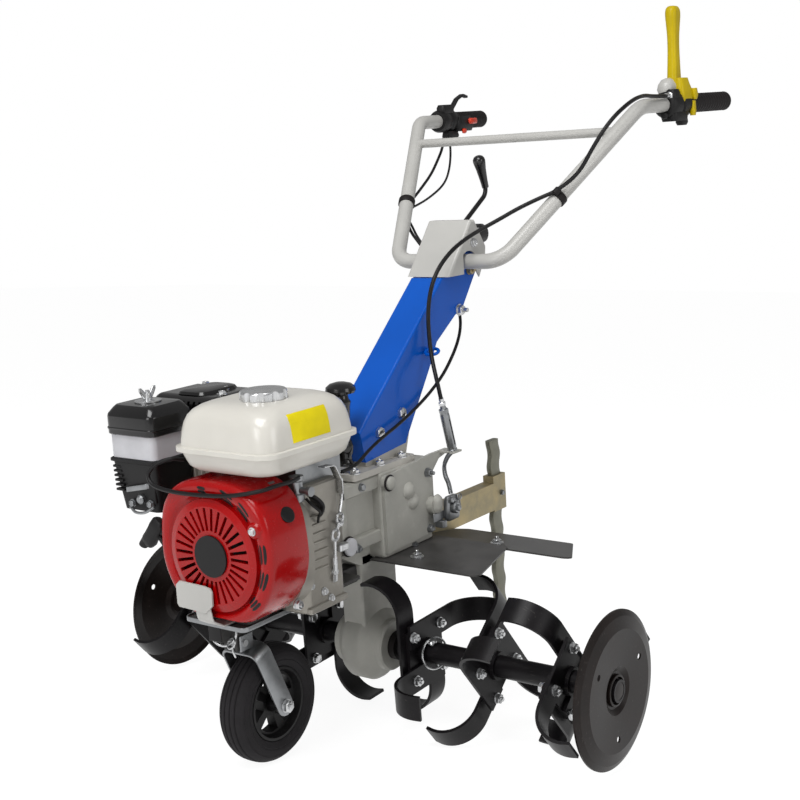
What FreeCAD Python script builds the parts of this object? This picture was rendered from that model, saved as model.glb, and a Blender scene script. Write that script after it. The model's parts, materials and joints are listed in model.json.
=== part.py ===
"""Walk-behind rotary tiller with a front transport wheel.

Machine frame used while modelling: origin on the tine axle, +X forward (engine
and wheel end), +Y to the machine's left, +Z square to the engine base.  The
finished pieces are tipped nose-down until the front wheel and the lowest tines
touch one floor, and moved so that the bounding box stands on the origin.
"""
import FreeCAD, Part
import math
import os
from FreeCAD import Vector, Rotation, Placement

# ---------------------------------------------------------------- driving sizes
# rotor
axle_height = 125.0         # axle over the floor as the machine is parked
tine_reach = 134.0          # axle to the outermost tine corner
tine_width = 39.0
tine_thick = 5.0
tine_bend_radius = 50.0     # to the middle of the blade
tine_bend = 100.0           # turn of the bend, degrees
tine_tip_flat = 9.0
tine_offset = 36.0          # pinwheel offset of a blade from the axle
flange_size = 84.0
flange_thick = 6.0
tip_to_case = 9.0           # innermost tip to the gear case leg
tip_to_disc = 4.4           # outermost tip to the guard disc
flange_count = 3
set_lag = 11.0              # the innermost set stands this far behind its resting turn
disc_radius = 117.5
disc_thick = 3.0
disc_span = 880.0           # distance between the two guard discs
disc_dish = 10.0
shaft_radius = 17.0
shaft_wall = 3.5
fit = 0.05                  # running clearance, radial
axle_radius = shaft_radius - shaft_wall - fit
seat_gap = 0.3              # clearance of pieces that face each other

# gear case
case_radius = 80.0
case_half = 22.0
case_boss_radius = 42.0
case_boss_half = 48.0
leg_front = 44.0
leg_back = -52.0
leg_half = 22.0
box_front = 18.0
box_back = -115.0
box_half = 52.0
box_bottom = 150.0
box_top = 288.0
neck_front = 112.0          # engine mounting face
neck_half = 46.0
neck_bottom = 178.0
neck_top = 286.0
side_plate_thick = 5.0
foot_top = 312.0
foot_flange_thick = 10.0
foot_front = 78.0
foot_back = -84.0
foot_half = 48.0

# column and cover
column_half = 32.0
column_sheet = 3.0
cover_half = 44.0
cover_sheet = 2.5
pivot_x = -274.0
pivot_z = 591.0

# handlebar
bar_radius = 13.0
bar_wall = 2.0
bar_low_half = 108.0
bar_top_x = -544.0
bar_top_z = 833.0
bar_top_half = 236.0
bar_end_x = -812.0
bar_end_z = 838.0
bar_end_half = 272.0
bar_low_bend = 46.0
bar_top_bend = 52.0
cross_share = 0.833         # height of the crossbar along the riser
cross_radius = 8.0
grip_radius = 18.0
grip_length = 132.0

# engine
crank_y = 35.0
crank_z = 247.0
engine_base = 146.0
fan_back = 275.0
fan_front = 368.0
fan_radius = 112.0
fan_fillet = 22.0
fan_wall = 4.0
recoil_up = 7.0             # recoil cover above the crankshaft
recoil_radius = 83.0
recoil_rise = 12.0
slot_in = 36.0
slot_out = 70.0
slot_width = 4.6
slot_count = 30
badge_radius = 29.5
tank_x = (180.0, 384.0)
tank_y = (-36.0, 156.0)
tank_lean_top = 20.0        # inset of the upper shell at its top
tank_lean_foot = 11.0       # inset of the lower shell at its foot
tank_corner = 32.0
tank_seam = 400.0
tank_top = 462.0
tank_bottom = 368.0
cap_x = 300.0
cap_y = 80.0
cap_radius = 33.0
cap_height = 13.0
cap_lobes = 10
cleaner_x = (258.0, 345.0)
cleaner_y = (-198.0, -100.0)
plate_thick = 5.0

# wheel and bracket
wheel_radius = 89.4
wheel_width = 50.0
wheel_x = 256.0
wheel_z = -10.0
rim_radius = 55.0
rim_spokes = 5
tube_side = 26.0
tube_front = 352.0
fork_strap = 4.0
fork_width = 32.0
fork_half = 31.0            # inner half-gap of the fork
fold_x = 312.0
fold_z = 103.0
hinge_pin_radius = 5.0

# rear hitch
hitch_height = 50.0
hitch_width = 25.0
hitch_mid_z = 153.0
socket_x = -386.0
spur_depth = 30.0
spur_thick = 12.0
spur_notch = 24.0           # pitch of the scallops along its edges
spur_top = 255.0
spur_bottom = -72.0
hitch_wall = 3.0
sleeve_wall = 5.0

# fenders
fender_sheet = 2.5
fender_front = 30.0
fender_mid = -124.0
fender_back = -250.0
fender_out = 235.0
fender_drop = 22.0          # fall of the rear sheet to its back edge
fender_corner = 12.0

# control cables
clip_share = 0.4            # height of the cable clips along the risers
clip_stand = 2.0            # cable's skin off the riser, inside its clip
clutch_cable_radius = 3.5
throttle_cable_radius = 2.75

# ------------------------------------------------------------------- helpers
X = Vector(1, 0, 0)
Y = Vector(0, 1, 0)
Z = Vector(0, 0, 1)
solids = {}


def box(x0, x1, y0, y1, z0, z1):
    """Block between two corners."""
    return Part.makeBox(x1 - x0, y1 - y0, z1 - z0, Vector(x0, y0, z0))


def rod(start, end, radius):
    """Round bar between two points."""
    a = Vector(*start)
    d = Vector(*end) - a
    return Part.makeCylinder(radius, d.Length, a, d)


def pipe(start, end, radius, wall):
    """Round tube between two points."""
    return rod(start, end, radius).cut(rod(start, end, radius - wall))


def prism(points, depth, plane="xz", at=0.0):
    """Straight prism on a closed outline.

    plane "xz" extrudes along +Y from y = at, "yz" along +X from x = at and
    "xy" along +Z from z = at.
    """
    lift = {
        "xz": lambda u, v: Vector(u, at, v),
        "yz": lambda u, v: Vector(at, u, v),
        "xy": lambda u, v: Vector(u, v, at),
    }[plane]
    ring = [lift(u, v) for u, v in points]
    wire = Part.makePolygon(ring + [ring[0]])
    direction = {"xz": Y, "yz": X, "xy": Z}[plane]
    return Part.Face(wire).extrude(direction * depth)


def lathe(profile, axis_point, axis):
    """Body of revolution from (radius, height) points about an axis."""
    ring = [Vector(r, 0, h) for r, h in profile]
    face = Part.Face(Part.makePolygon(ring + [ring[0]]))
    body = face.revolve(Vector(0, 0, 0), Z, 360)
    turn = Rotation(Z, Vector(*axis))
    body.Placement = Placement(Vector(*axis_point), turn)
    return body


def edges_where(shape, test):
    """Edges whose centre of mass passes a test."""
    return [e for e in shape.Edges if test(e.CenterOfMass)]


def rounded_path(points, radii):
    """Wire of straight runs with a tangent arc at each inner point."""
    pts = [Vector(*p) for p in points]
    edges = []
    start = pts[0]
    for i in range(1, len(pts) - 1):
        before = (pts[i - 1] - pts[i]).normalize()
        after = (pts[i + 1] - pts[i]).normalize()
        half_turn = (math.pi - before.getAngle(after)) / 2
        back_off = radii[i - 1] * math.tan(half_turn)
        p1 = pts[i] + before * back_off
        p2 = pts[i] + after * back_off
        bisector = (before + after).normalize()
        reach = radii[i - 1] / math.cos(half_turn) - radii[i - 1]
        edges.append(Part.LineSegment(start, p1).toShape())
        edges.append(Part.Arc(p1, pts[i] + bisector * reach, p2).toShape())
        start = p2
    edges.append(Part.LineSegment(start, pts[-1]).toShape())
    return Part.Wire(edges)


def sweep_round(path, radius):
    """Solid of one radius along a wire."""
    first = path.OrderedEdges[0]
    start = first.valueAt(first.FirstParameter)
    along = first.tangentAt(first.FirstParameter)
    circle = Part.Wire(Part.makeCircle(radius, start, along))
    return path.makePipeShell([circle], True, False)


def cable_tube(label, points, radius):
    """Round cable: straight runs with the largest tangent arcs they allow."""
    pts = [Vector(*p) for p in points]
    radii = []
    for before, here, after in zip(pts, pts[1:], pts[2:]):
        half_turn = (here - before).getAngle(after - here) / 2
        shorter = min((here - before).Length, (after - here).Length)
        radii.append(0.45 * shorter / math.tan(half_turn))
    path = rounded_path(points, radii)
    print(label, "length", round(path.Length, 1), "radii", [round(r) for r in radii])
    return sweep_round(path, radius)


def rounded_ring(x, y, corner, z):
    """Level closed outline with round corners between two x and two y."""
    centres = [(x[1] - corner, y[1] - corner), (x[0] + corner, y[1] - corner),
               (x[0] + corner, y[0] + corner), (x[1] - corner, y[0] + corner)]
    edges = []
    for k, (cx, cy) in enumerate(centres):
        turn = [math.pi / 2 * k + math.pi / 4 * j for j in range(3)]
        arc = [Vector(cx + corner * math.cos(a), cy + corner * math.sin(a), z) for a in turn]
        if edges:
            edges.append(Part.LineSegment(last, arc[0]).toShape())
        else:
            first = arc[0]
        edges.append(Part.Arc(*arc).toShape())
        last = arc[2]
    edges.append(Part.LineSegment(last, first).toShape())
    return Part.Wire(edges)


def inset(span, by):
    """Span narrowed by the same amount at both ends."""
    return (span[0] + by, span[1] - by)


def shell_block(levels, corner):
    """Lofted block through (x span, y span, z) levels with round corners."""
    return Part.makeLoft([rounded_ring(x, y, corner, z) for x, y, z in levels], True, True)


def mirrored(shape):
    """The same piece on the other side of the mid-plane."""
    return shape.mirror(Vector(0, 0, 0), Y)


# ------------------------------------------------------------------ pitch
drop = math.hypot(wheel_x, wheel_z)
pitch = math.atan2(wheel_z, wheel_x) + math.asin((axle_height - wheel_radius) / drop)
down_angle = -math.pi / 2 + pitch     # direction of the floor seen in the machine frame


# ------------------------------------------------------------------ rotor
bend_turn = math.radians(tine_bend)
bend_outer = tine_bend_radius + tine_thick / 2
bend_inner = tine_bend_radius - tine_thick / 2
tine_edge = tine_offset + tine_width / 2
bend_at = math.sqrt(tine_reach ** 2 - tine_edge ** 2) - bend_outer
corner_angle = math.atan2(tine_edge, bend_at + bend_outer)
# blade's stretch along the axle, from the middle of its flange
tine_span = flange_thick / 2 + tine_thick + bend_inner
tine_span = tine_span - bend_inner * math.cos(bend_turn) + tine_tip_flat * math.sin(bend_turn)
flange_first = leg_half + tip_to_case + tine_span
flange_pitch = (disc_span / 2 - tip_to_disc - tine_span - flange_first) / (flange_count - 1)


def tine(side, hand):
    """Blade along +X: straight leg, a bend of more than a quarter turn and a short tip.

    side is the way the tip bends along the axle, hand the side of the axle the
    leg passes on.
    """
    t = tine_thick
    root = -flange_size / 2
    centre = Vector(bend_at, side * (t / 2 + bend_inner), 0)

    def on_bend(radius, angle):
        return centre + Vector(radius * math.sin(angle), -side * radius * math.cos(angle), 0)

    along = Vector(math.cos(bend_turn), side * math.sin(bend_turn), 0) * tine_tip_flat
    outer = [on_bend(bend_outer, 0), on_bend(bend_outer, bend_turn / 2), on_bend(bend_outer, bend_turn)]
    inner = [on_bend(bend_inner, bend_turn), on_bend(bend_inner, bend_turn / 2), on_bend(bend_inner, 0)]
    back = [Vector(root, side * t / 2, 0), Vector(root, -side * t / 2, 0)]
    edges = [
        Part.LineSegment(back[1], outer[0]).toShape(),
        Part.Arc(*outer).toShape(),
        Part.LineSegment(outer[2], outer[2] + along).toShape(),
        Part.LineSegment(outer[2] + along, inner[0] + along).toShape(),
        Part.LineSegment(inner[0] + along, inner[0]).toShape(),
        Part.Arc(*inner).toShape(),
        Part.LineSegment(inner[2], back[0]).toShape(),
        Part.LineSegment(back[0], back[1]).toShape(),
    ]
    face = Part.Face(Part.Wire(edges))
    face.translate(Vector(0, 0, hand * tine_offset - tine_width / 2))
    return face.extrude(Vector(0, 0, tine_width))


def tine_set(y, phase, hand):
    """Square flange with four pinwheel blades bolted to its two faces.

    phase is the direction in degrees of a blade that bends inwards; blades
    bend inwards and outwards in turn.
    """
    hub = rod((0, y - 14, 0), (0, y + 14, 0), shaft_radius + 5)
    half = flange_size / 2
    plate = box(-half, half, y - flange_thick / 2, y + flange_thick / 2, -half, half)
    plate.rotate(Vector(0, 0, 0), Y, -phase)
    body = hub.fuse(plate)
    for k in range(4):
        side = -1 if k % 2 == 0 else 1
        blade = tine(side, hand)
        blade.rotate(Vector(0, 0, 0), Y, -(phase + 90 * k))
        blade.translate(Vector(0, y + side * (flange_thick + tine_thick) / 2, 0))
        body = body.fuse(blade)
    bore = rod((0, y - 60, 0), (0, y + 60, 0), shaft_radius + fit)
    return body.cut(bore).removeSplitter()


def disc(y):
    """Dished guard disc with a raised hub, three holes and a centre bore."""
    outer = disc_radius
    dish = disc_dish
    t = disc_thick
    profile = [
        (shaft_radius + fit, 0), (30, 0), (38, dish * 0.55), (outer - 26, dish * 0.9), (outer - 8, dish * 0.45),
        (outer, 0), (outer, t), (outer - 9, dish * 0.45 + t), (outer - 27, dish * 0.9 + t),
        (36, dish * 0.55 + t), (28, t), (shaft_radius + fit, t),
    ]
    body = lathe(profile, (0, y - t / 2, 0), (0, 1, 0))
    for k in range(3):
        angle = math.radians(35 + 120 * k)
        cx = 72 * math.cos(angle)
        cz = 72 * math.sin(angle)
        body = body.cut(rod((cx, y - 30, cz), (cx, y + 30, cz), 5.0))
    collar = pipe((0, y - 34, 0), (0, y + t / 2, 0), shaft_radius + 5, 5 - fit)
    return body.fuse(collar).removeSplitter()


# the rotor stands between the corners of the second sets, ahead of the axle,
# and those of the outer sets behind it
down = math.degrees(down_angle)
corner = math.degrees(corner_angle)
resting = math.degrees(math.acos(axle_height / tine_reach))
hands = (-1, -1, 1)
phases = (down + corner - resting - set_lag, down + corner + resting, down - corner - resting)
for k in range(flange_count):
    one = tine_set(flange_first + flange_pitch * k, phases[k % 3], hands[k % 3])
    solids["tine_set_left_%d" % (k + 1)] = one
    solids["tine_set_right_%d" % (k + 1)] = mirrored(one)
disc_y = disc_span / 2
left_disc = disc(disc_y)
solids["guard_disc_left"] = left_disc
solids["guard_disc_right"] = mirrored(left_disc)
shaft_start = case_boss_half + 14.0
left_shaft = pipe((0, shaft_start, 0), (0, disc_y + 10, 0), shaft_radius, shaft_wall)
solids["tine_shaft_left"] = left_shaft
solids["tine_shaft_right"] = mirrored(left_shaft)
axle_half = shaft_start + 70.0
solids["drive_axle"] = rod((0, -axle_half, 0), (0, axle_half, 0), axle_radius)

# ------------------------------------------------------------------ gear case
half_profile = [
    (0, -case_boss_half), (case_boss_radius - 3, -case_boss_half), (case_boss_radius, -case_boss_half + 3),
    (case_boss_radius, -case_half - 14), (case_radius - 16, -case_half - 6), (case_radius, -case_half + 6),
    (case_radius, case_half - 6), (case_radius - 16, case_half + 6), (case_boss_radius, case_half + 14),
    (case_boss_radius, case_boss_half - 3), (case_boss_radius - 3, case_boss_half), (0, case_boss_half),
]
drum = lathe(half_profile, (0, 0, 0), (0, 1, 0))
leg = box(leg_back, leg_front, -leg_half, leg_half, 30, box_bottom + 6)
upper = box(box_back, box_front, -box_half, box_half, box_bottom, box_top)
upper = upper.makeFillet(7.0, edges_where(upper, lambda c: abs(abs(c.y) - box_half) < 0.01 and abs(c.z - 219) < 40))
neck = box(box_front - 10, neck_front, -neck_half, neck_half, neck_bottom, neck_top)
neck_side = prism([(box_front - 5, neck_bottom + 20), (neck_front - 14, neck_bottom + 20),
                   (neck_front - 14, neck_top - 22), (box_front - 5, neck_top - 22)], 20, "xz", neck_half - 12)
neck = neck.cut(neck_side).cut(mirrored(neck_side))
shoulder_z = engine_base - plate_thick + 1
shoulder = prism([(leg_front, shoulder_z), (neck_front, neck_bottom), (neck_front, neck_bottom + 8),
                  (box_front - 8, neck_bottom + 8), (box_front - 8, shoulder_z)], 2 * leg_half, "xz", -leg_half)
case = drum.fuse([leg, upper, neck, shoulder]).removeSplitter()
case = case.cut(rod((0, -200, 0), (0, 200, 0), axle_radius + fit))
solids["gear_case"] = case.removeSplitter()

# axle seals seen as black rings at the bosses
for side, name in ((1, "axle_seal_left"), (-1, "axle_seal_right")):
    inner = side * (case_boss_half + seat_gap)
    outer = side * (shaft_start - 2.0)
    solids[name] = pipe((0, inner, 0), (0, outer, 0), 23.0, 23.0 - axle_radius - fit)

# grey side plate with a double swelling and the cable arm
plate_y = box_half
outline = [
    (box_front - 8, 282), (box_back + 2, 292), (box_back - 46, 292), (box_back - 46, 286), (box_back - 20, 280),
    (box_back, 262), (box_back, 162), (box_front - 2, 158), (box_front - 2, 276),
]
side_plate = prism(outline, side_plate_thick, "xz", plate_y)
swell_a = Part.makeSphere(17, Vector(-47, plate_y - 4, 246))
swell_b = Part.makeSphere(17, Vector(-58, plate_y - 4, 226))
boss = rod((box_front - 10, plate_y, 272), (box_front - 10, plate_y + 10, 272), 12)
rear_boss = rod((box_back + 8, plate_y, 208), (box_back + 8, plate_y + 16, 208), 15)
ledge = box(box_back - 46, box_back - 22, plate_y, plate_y + 34, 289, 292)
side_plate = side_plate.fuse([swell_a, swell_b, boss, rear_boss, ledge])
side_plate = side_plate.cut(box(box_back - 60, neck_front, 0, plate_y, 100, 320))
solids["case_side_plate"] = side_plate.removeSplitter()

# column foot
flange = box(foot_back, foot_front, -foot_half, foot_half, box_top, box_top + foot_flange_thick)
flange = flange.makeFillet(8.0, edges_where(flange, lambda c: abs(abs(c.y) - foot_half) < 0.01 and abs(c.z - box_top - foot_flange_thick / 2) < 1))
stub_half = column_half - column_sheet
stub = prism([(22, box_top + 5), (-82, box_top + 5), (-110, 372), (-70, 400), (-36, 400), (28, 346)],
             2 * stub_half, "xz", -stub_half)
solids["column_foot"] = flange.fuse(stub).removeSplitter()

# ------------------------------------------------------------------ column
column_side = [
    (26, 306), (37, 356), (-206.5, 569.5), (-214.6, 569.5), (-262, 628), (-300, 628), (-312, 574), (-266, 515),
    (-240, 503),
    (-183, 466), (-163, 433), (-87, 326), (-81, 316),
]
s = column_sheet
outer = prism(column_side, 2 * column_half, "xz", -column_half)
top_middle = ((column_side[1][0] + column_side[2][0]) / 2, (column_side[1][1] + column_side[2][1]) / 2)
outer = outer.makeFillet(column_sheet + 1, edges_where(outer, lambda c: math.hypot(
    c.x - top_middle[0], c.z - top_middle[1]) < 1 and abs(c.y) > column_half - 1))
inner_side = [
    (26 - s, 300), (37 - s - 1, 355), (-208, 566), (-218, 566), (-266, 626), (-262, 640), (-420, 640), (-420, 300),
]
inner = prism(inner_side, 2 * (column_half - s), "xz", -(column_half - s))
column = outer.cut(inner)
column = column.cut(rod((pivot_x, -60, pivot_z), (pivot_x, 60, pivot_z), bar_radius + fit))
solids["column"] = column.removeSplitter()

# folded cover on top of the column
cover_side = [
    (-212, 571), (-284, 660), (-298, 660), (-327, 617), (-324, 596), (-303, 562), (-296, 572), (-291, 591),
    (-291, 604), (-280, 609), (-268, 609), (-257, 604), (-257, 571),
]
c = cover_sheet
outer = prism(cover_side, 2 * cover_half, "xz", -cover_half)
outer = outer.makeFillet(2 * cover_sheet, edges_where(outer, lambda c: c.z > 612 and abs(c.y) > cover_half - 1))
inner = prism([(-205, 560), (-214.2, 569.5), (-285.4, 657.5), (-300, 657.5), (-345, 600), (-345, 540), (-205, 540)],
              2 * (cover_half - c), "xz", -(cover_half - c))
solids["column_cover"] = outer.cut(inner).removeSplitter()

# ------------------------------------------------------------------ handlebar
bar_points = [
    (bar_end_x, bar_end_half, bar_end_z), (bar_top_x, bar_top_half, bar_top_z),
    (pivot_x, bar_low_half, pivot_z), (pivot_x, -bar_low_half, pivot_z),
    (bar_top_x, -bar_top_half, bar_top_z), (bar_end_x, -bar_end_half, bar_end_z),
]
bends = [bar_top_bend, bar_low_bend, bar_low_bend, bar_top_bend]
path = rounded_path(bar_points, bends)
bar = sweep_round(path, bar_radius)
hollow = sweep_round(path, bar_radius - bar_wall)
cross_x = pivot_x + cross_share * (bar_top_x - pivot_x)
cross_z = pivot_z + cross_share * (bar_top_z - pivot_z)
cross_half = bar_low_half + cross_share * (bar_top_half - bar_low_half)
cross = rod((cross_x, -cross_half, cross_z), (cross_x, cross_half, cross_z), cross_radius)
solids["handlebar"] = bar.fuse(cross).cut(hollow).removeSplitter()


def along_grip(distance, side=1):
    """Point on the grip run, measured back from the bar's end."""
    a = Vector(bar_end_x, side * bar_end_half, bar_end_z)
    b = Vector(bar_top_x, side * bar_top_half, bar_top_z)
    return a + (b - a).normalize() * distance


def grip_piece(side, start, end, radius):
    a = along_grip(start, side)
    b = along_grip(end, side)
    return rod(tuple(a), tuple(b), radius)


for side, name in ((1, "grip_left"), (-1, "grip_right")):
    body = grip_piece(side, -8, grip_length, grip_radius)
    solids[name] = body.cut(grip_piece(side, 0, grip_length + 1, bar_radius))

# left hand: clutch housing and lever
house = grip_piece(1, grip_length + 6, grip_length + 62, 25)
house = house.cut(grip_piece(1, grip_length, grip_length + 70, bar_radius))
solids["clutch_housing"] = house
mid = along_grip(grip_length + 30)
lever_base = Vector(mid.x, mid.y, mid.z + 24)
lever_foot = mid.z + 25 + seat_gap
lever_levels = [(14, 7, lever_foot), (14, 7, lever_foot + 30), (12, 6, lever_foot + 70), (10, 5.5, lever_foot + 145)]
lever = shell_block([((mid.x - a, mid.x + a), (mid.y - b, mid.y + b), z) for a, b, z in lever_levels], 5)
lever = lever.makeFillet(4, edges_where(lever, lambda c: c.z > lever_foot + 144.9))
solids["clutch_lever"] = lever

# right hand: throttle housing
house = grip_piece(-1, grip_length + 4, grip_length + 60, 22)
house = house.cut(grip_piece(-1, grip_length, grip_length + 70, bar_radius))
solids["throttle_housing"] = house
mid = along_grip(grip_length + 30, -1)
solids["throttle_lever"] = box(mid.x - 24, mid.x + 10, mid.y - 5, mid.y + 5, mid.z + 22 + 0.7, mid.z + 45)

# ------------------------------------------------------------------ gear lever
lever_points = [(-62, 0, 403), (-222, 0, 556), (-264, 0, 612), (-407, 0, 700), (-392, 0, 740)]
lever_path = rounded_path(lever_points, [60, 60, 18])
solids["gear_lever"] = sweep_round(lever_path, 4.0)
grip_axis = Vector(-386, 0, 757) - Vector(-392, 0, 740)
solids["gear_lever_grip"] = Part.makeCone(8.5, 6, 52, Vector(-400.5, 0, 716), grip_axis).cut(sweep_round(lever_path, 4.0))

# ------------------------------------------------------------------ selector knob
stem = rod((62, 20, box_top + foot_flange_thick), (62, 20, 418), 9)
knob = lathe([(0, 0), (10, 0), (20, 10), (20, 16), (12, 21), (0, 22)], (62, 20, 418), (0, 0, 1))
solids["selector_knob"] = stem.fuse(knob).removeSplitter()

# ------------------------------------------------------------------ engine
base = box(neck_front + 12, fan_back, crank_y - 80, crank_y + 76, engine_base, engine_base + 12)
crank = rod((neck_front, crank_y, crank_z), (fan_back, crank_y, crank_z), 84)
crank = crank.common(box(0, 400, crank_y - 78, crank_y + 74, engine_base, crank_z + 82))
skirt = box(neck_front + 8, fan_back, crank_y - 74, crank_y + 72, engine_base + 2, crank_z)
seam = rod((209, crank_y, crank_z), (222, crank_y, crank_z), 89)
seam = seam.fuse(box(209, 222, crank_y - 78, crank_y + 77, engine_base, crank_z))
seam = seam.common(box(200, 230, crank_y - 78, crank_y + 77, engine_base, crank_z + 82))
block = base.fuse([crank, skirt, seam])
cyl = box(neck_front + 12, cleaner_x[0] + 2, -150, crank_y, crank_z - 20, crank_z + 96)
for k in range(8):
    x = neck_front + 20 + k * 15.5
    cyl = cyl.cut(box(x, x + 8, -151, -40, crank_z - 21, crank_z + 97))
core = box(neck_front + 16, cleaner_x[0] - 6, -138, crank_y, crank_z - 8, crank_z + 84)
block = block.fuse([cyl, core]).removeSplitter()
solids["engine_block"] = block

fan = rod((fan_back + seat_gap, crank_y, crank_z), (fan_front, crank_y, crank_z), fan_radius)
fan = fan.fuse(box(fan_back + seat_gap, fan_front, crank_y - fan_radius, crank_y, crank_z, crank_z + fan_radius))
fan_foot = engine_base + 17
fan = fan.cut(box(0, 500, -300, 300, 0, fan_foot)).removeSplitter()
front_edges = edges_where(fan, lambda c: abs(c.x - fan_front) < 0.01)
fan = fan.makeFillet(fan_fillet, front_edges)
wall = fan_wall
hollow_r = fan_radius - wall
hollow = rod((fan_back - 1, crank_y, crank_z), (fan_front - wall, crank_y, crank_z), hollow_r)
hollow = hollow.fuse(box(fan_back - 1, fan_front - wall, crank_y - hollow_r, crank_y, crank_z, crank_z + hollow_r))
hollow = hollow.cut(box(0, 500, -300, 300, 0, fan_foot + wall)).removeSplitter()
hollow = hollow.makeFillet(fan_fillet - wall / 2, edges_where(hollow, lambda c: abs(c.x - fan_front + wall) < 0.01))
fan = fan.cut(hollow)
recoil_z = crank_z + recoil_up
fan = fan.cut(rod((fan_front - 26, crank_y, recoil_z), (fan_front + 5, crank_y, recoil_z), slot_out + 8))
solids["fan_cover"] = fan

cover = lathe([(0, 5), (slot_out + 5, 5), (slot_out + 5, 0), (recoil_radius, 0), (recoil_radius - 2, 4),
               (slot_out + 10, recoil_rise - 3), (slot_out, recoil_rise), (0, recoil_rise)],
              (fan_front + seat_gap, crank_y, recoil_z), (1, 0, 0))
for k in range(slot_count):
    angle = 360.0 * k / slot_count
    slot = box(fan_front - 5, fan_front + 30, crank_y + slot_in, crank_y + slot_out - 2,
               recoil_z - slot_width / 2, recoil_z + slot_width / 2)
    slot.rotate(Vector(0, crank_y, recoil_z), X, angle)
    cover = cover.cut(slot)
solids["recoil_cover"] = cover
solids["recoil_badge"] = rod((fan_front + seat_gap + recoil_rise, crank_y, recoil_z),
                             (fan_front + seat_gap + recoil_rise + 3, crank_y, recoil_z), badge_radius)
solids["flywheel"] = rod((fan_back, crank_y, crank_z), (fan_front - 34, crank_y, crank_z), fan_radius - 38)
handle_y = crank_y - fan_radius - 10
starter = rod((fan_front + 2, handle_y + 2, crank_z + 34), (fan_front + 2, handle_y - 24, crank_z + 2), 7)
starter = starter.fuse(box(fan_front - fan_fillet - 14, fan_front - fan_fillet - 2, handle_y - 6, handle_y + 10 - seat_gap, crank_z + 4, crank_z + 30))
starter = starter.fuse(box(fan_front - fan_fillet - 8, fan_front + 4, handle_y - 6, handle_y + 2, crank_z + 10, crank_z + 24))
solids["starter_handle"] = starter.removeSplitter()

foot_x, foot_y = inset(tank_x, tank_lean_foot), inset(tank_y, tank_lean_foot)
side_x, side_y = inset(tank_x, 4), inset(tank_y, 4)
roof_x, roof_y = inset(tank_x, tank_lean_top), inset(tank_y, tank_lean_top)
lower = shell_block([(foot_x, foot_y, tank_bottom), (side_x, side_y, tank_seam)], tank_corner - 4)
lower = lower.makeFillet(8, edges_where(lower, lambda c: c.z < tank_bottom + 0.01))
upper = shell_block([(side_x, side_y, tank_seam), (roof_x, roof_y, tank_top)], tank_corner - 4)
upper = upper.makeFillet(17, edges_where(upper, lambda c: c.z > tank_top - 0.01))
rim = shell_block([(tank_x, tank_y, tank_seam - 3), (tank_x, tank_y, tank_seam + 3)], tank_corner)
solids["fuel_tank"] = lower.fuse([upper, rim]).removeSplitter()
cap = rod((cap_x, cap_y, tank_top), (cap_x, cap_y, tank_top + cap_height), cap_radius)
cap = cap.makeFillet(4, edges_where(cap, lambda c: c.z > tank_top + cap_height - 0.01))
for k in range(cap_lobes):
    angle = 2 * math.pi * k / cap_lobes
    groove = (cap_x + (cap_radius + 5) * math.cos(angle), cap_y + (cap_radius + 5) * math.sin(angle))
    cap = cap.cut(rod((*groove, tank_top - 1), (*groove, tank_top + cap_height + 1), 7.5))
solids["fuel_cap"] = cap
carrier = box(fan_back - 110, fan_back - 12, crank_y + 4, crank_y + 60, crank_z + 82, tank_bottom)
solids["tank_bracket"] = carrier

cx0, cx1 = cleaner_x
cy0, cy1 = cleaner_y
lid = shell_block([(cleaner_x, cleaner_y, 400), (cleaner_x, cleaner_y, 420),
                   (inset(cleaner_x, 13), inset(cleaner_y, 13), 434)], 12)
solids["air_cleaner_lid"] = lid.makeFillet(5, edges_where(lid, lambda c: c.z > 433.9))
band_x, band_y = inset(cleaner_x, 3), inset(cleaner_y, 3)
solids["air_cleaner_band"] = shell_block([(band_x, band_y, 366), (band_x, band_y, 400)], 10)
base_x, base_y = (cx0 + 3, cx1 - 12), inset(cleaner_y, 10)
solids["air_cleaner_base"] = shell_block([(base_x, base_y, 286), (band_x, band_y, 358), (band_x, band_y, 366)], 10)
guard_x = (130.0, 236.0)
guard_y = (-218.0, -74.0)
guard_top = 440.0
guard = box(*guard_x, *guard_y, crank_z + 96, guard_top)
guard = guard.makeFillet(17, edges_where(guard, lambda c: c.z > guard_top - 0.1 or (c.x > guard_x[1] - 0.1 and abs(c.z - 391.5) < 2)))
for k in range(9):
    y = guard_y[0] + 26 + 11.5 * k
    guard = guard.cut(box(guard_x[1] - 20, guard_x[1] + 2, y - 2.5, y + 2.5, guard_top - 26, guard_top - 8))
solids["muffler_guard"] = guard

# engine plate, bumper and wheel tube
solids["engine_plate"] = box(92, 360, crank_y - 86, crank_y + 82, engine_base - plate_thick, engine_base)
tube_top = engine_base - plate_thick
tube = box(leg_front, tube_front, -tube_side / 2, tube_side / 2, tube_top - tube_side, tube_top)
tube = tube.cut(box(0, tube_front + 1, -tube_side / 2 + 3, tube_side / 2 - 3, tube_top - tube_side + 3, tube_top - 3))
ear = box(fold_x - 12, fold_x + 12, -tube_side / 2, -tube_side / 2 + 5, fold_z - 10, tube_top - tube_side)
ears = ear.fuse(mirrored(ear))
tube = tube.fuse(ears).cut(rod((fold_x, -40, fold_z), (fold_x, 40, fold_z), hinge_pin_radius + fit))
solids["wheel_tube"] = tube.removeSplitter()
bumper = box(385, 388, crank_y - 56, crank_y + 6, engine_base, 206)
bumper = bumper.makeFillet(14, edges_where(bumper, lambda c: abs(c.x - 386.5) < 0.1))
shelf = box(340, 388, crank_y - 42, crank_y - 8, engine_base, engine_base + 3)
fold = box(381, 388, crank_y + 3, crank_y + 6, engine_base + 14, 192)
solids["bumper"] = bumper.fuse([shelf, fold]).removeSplitter()

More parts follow.
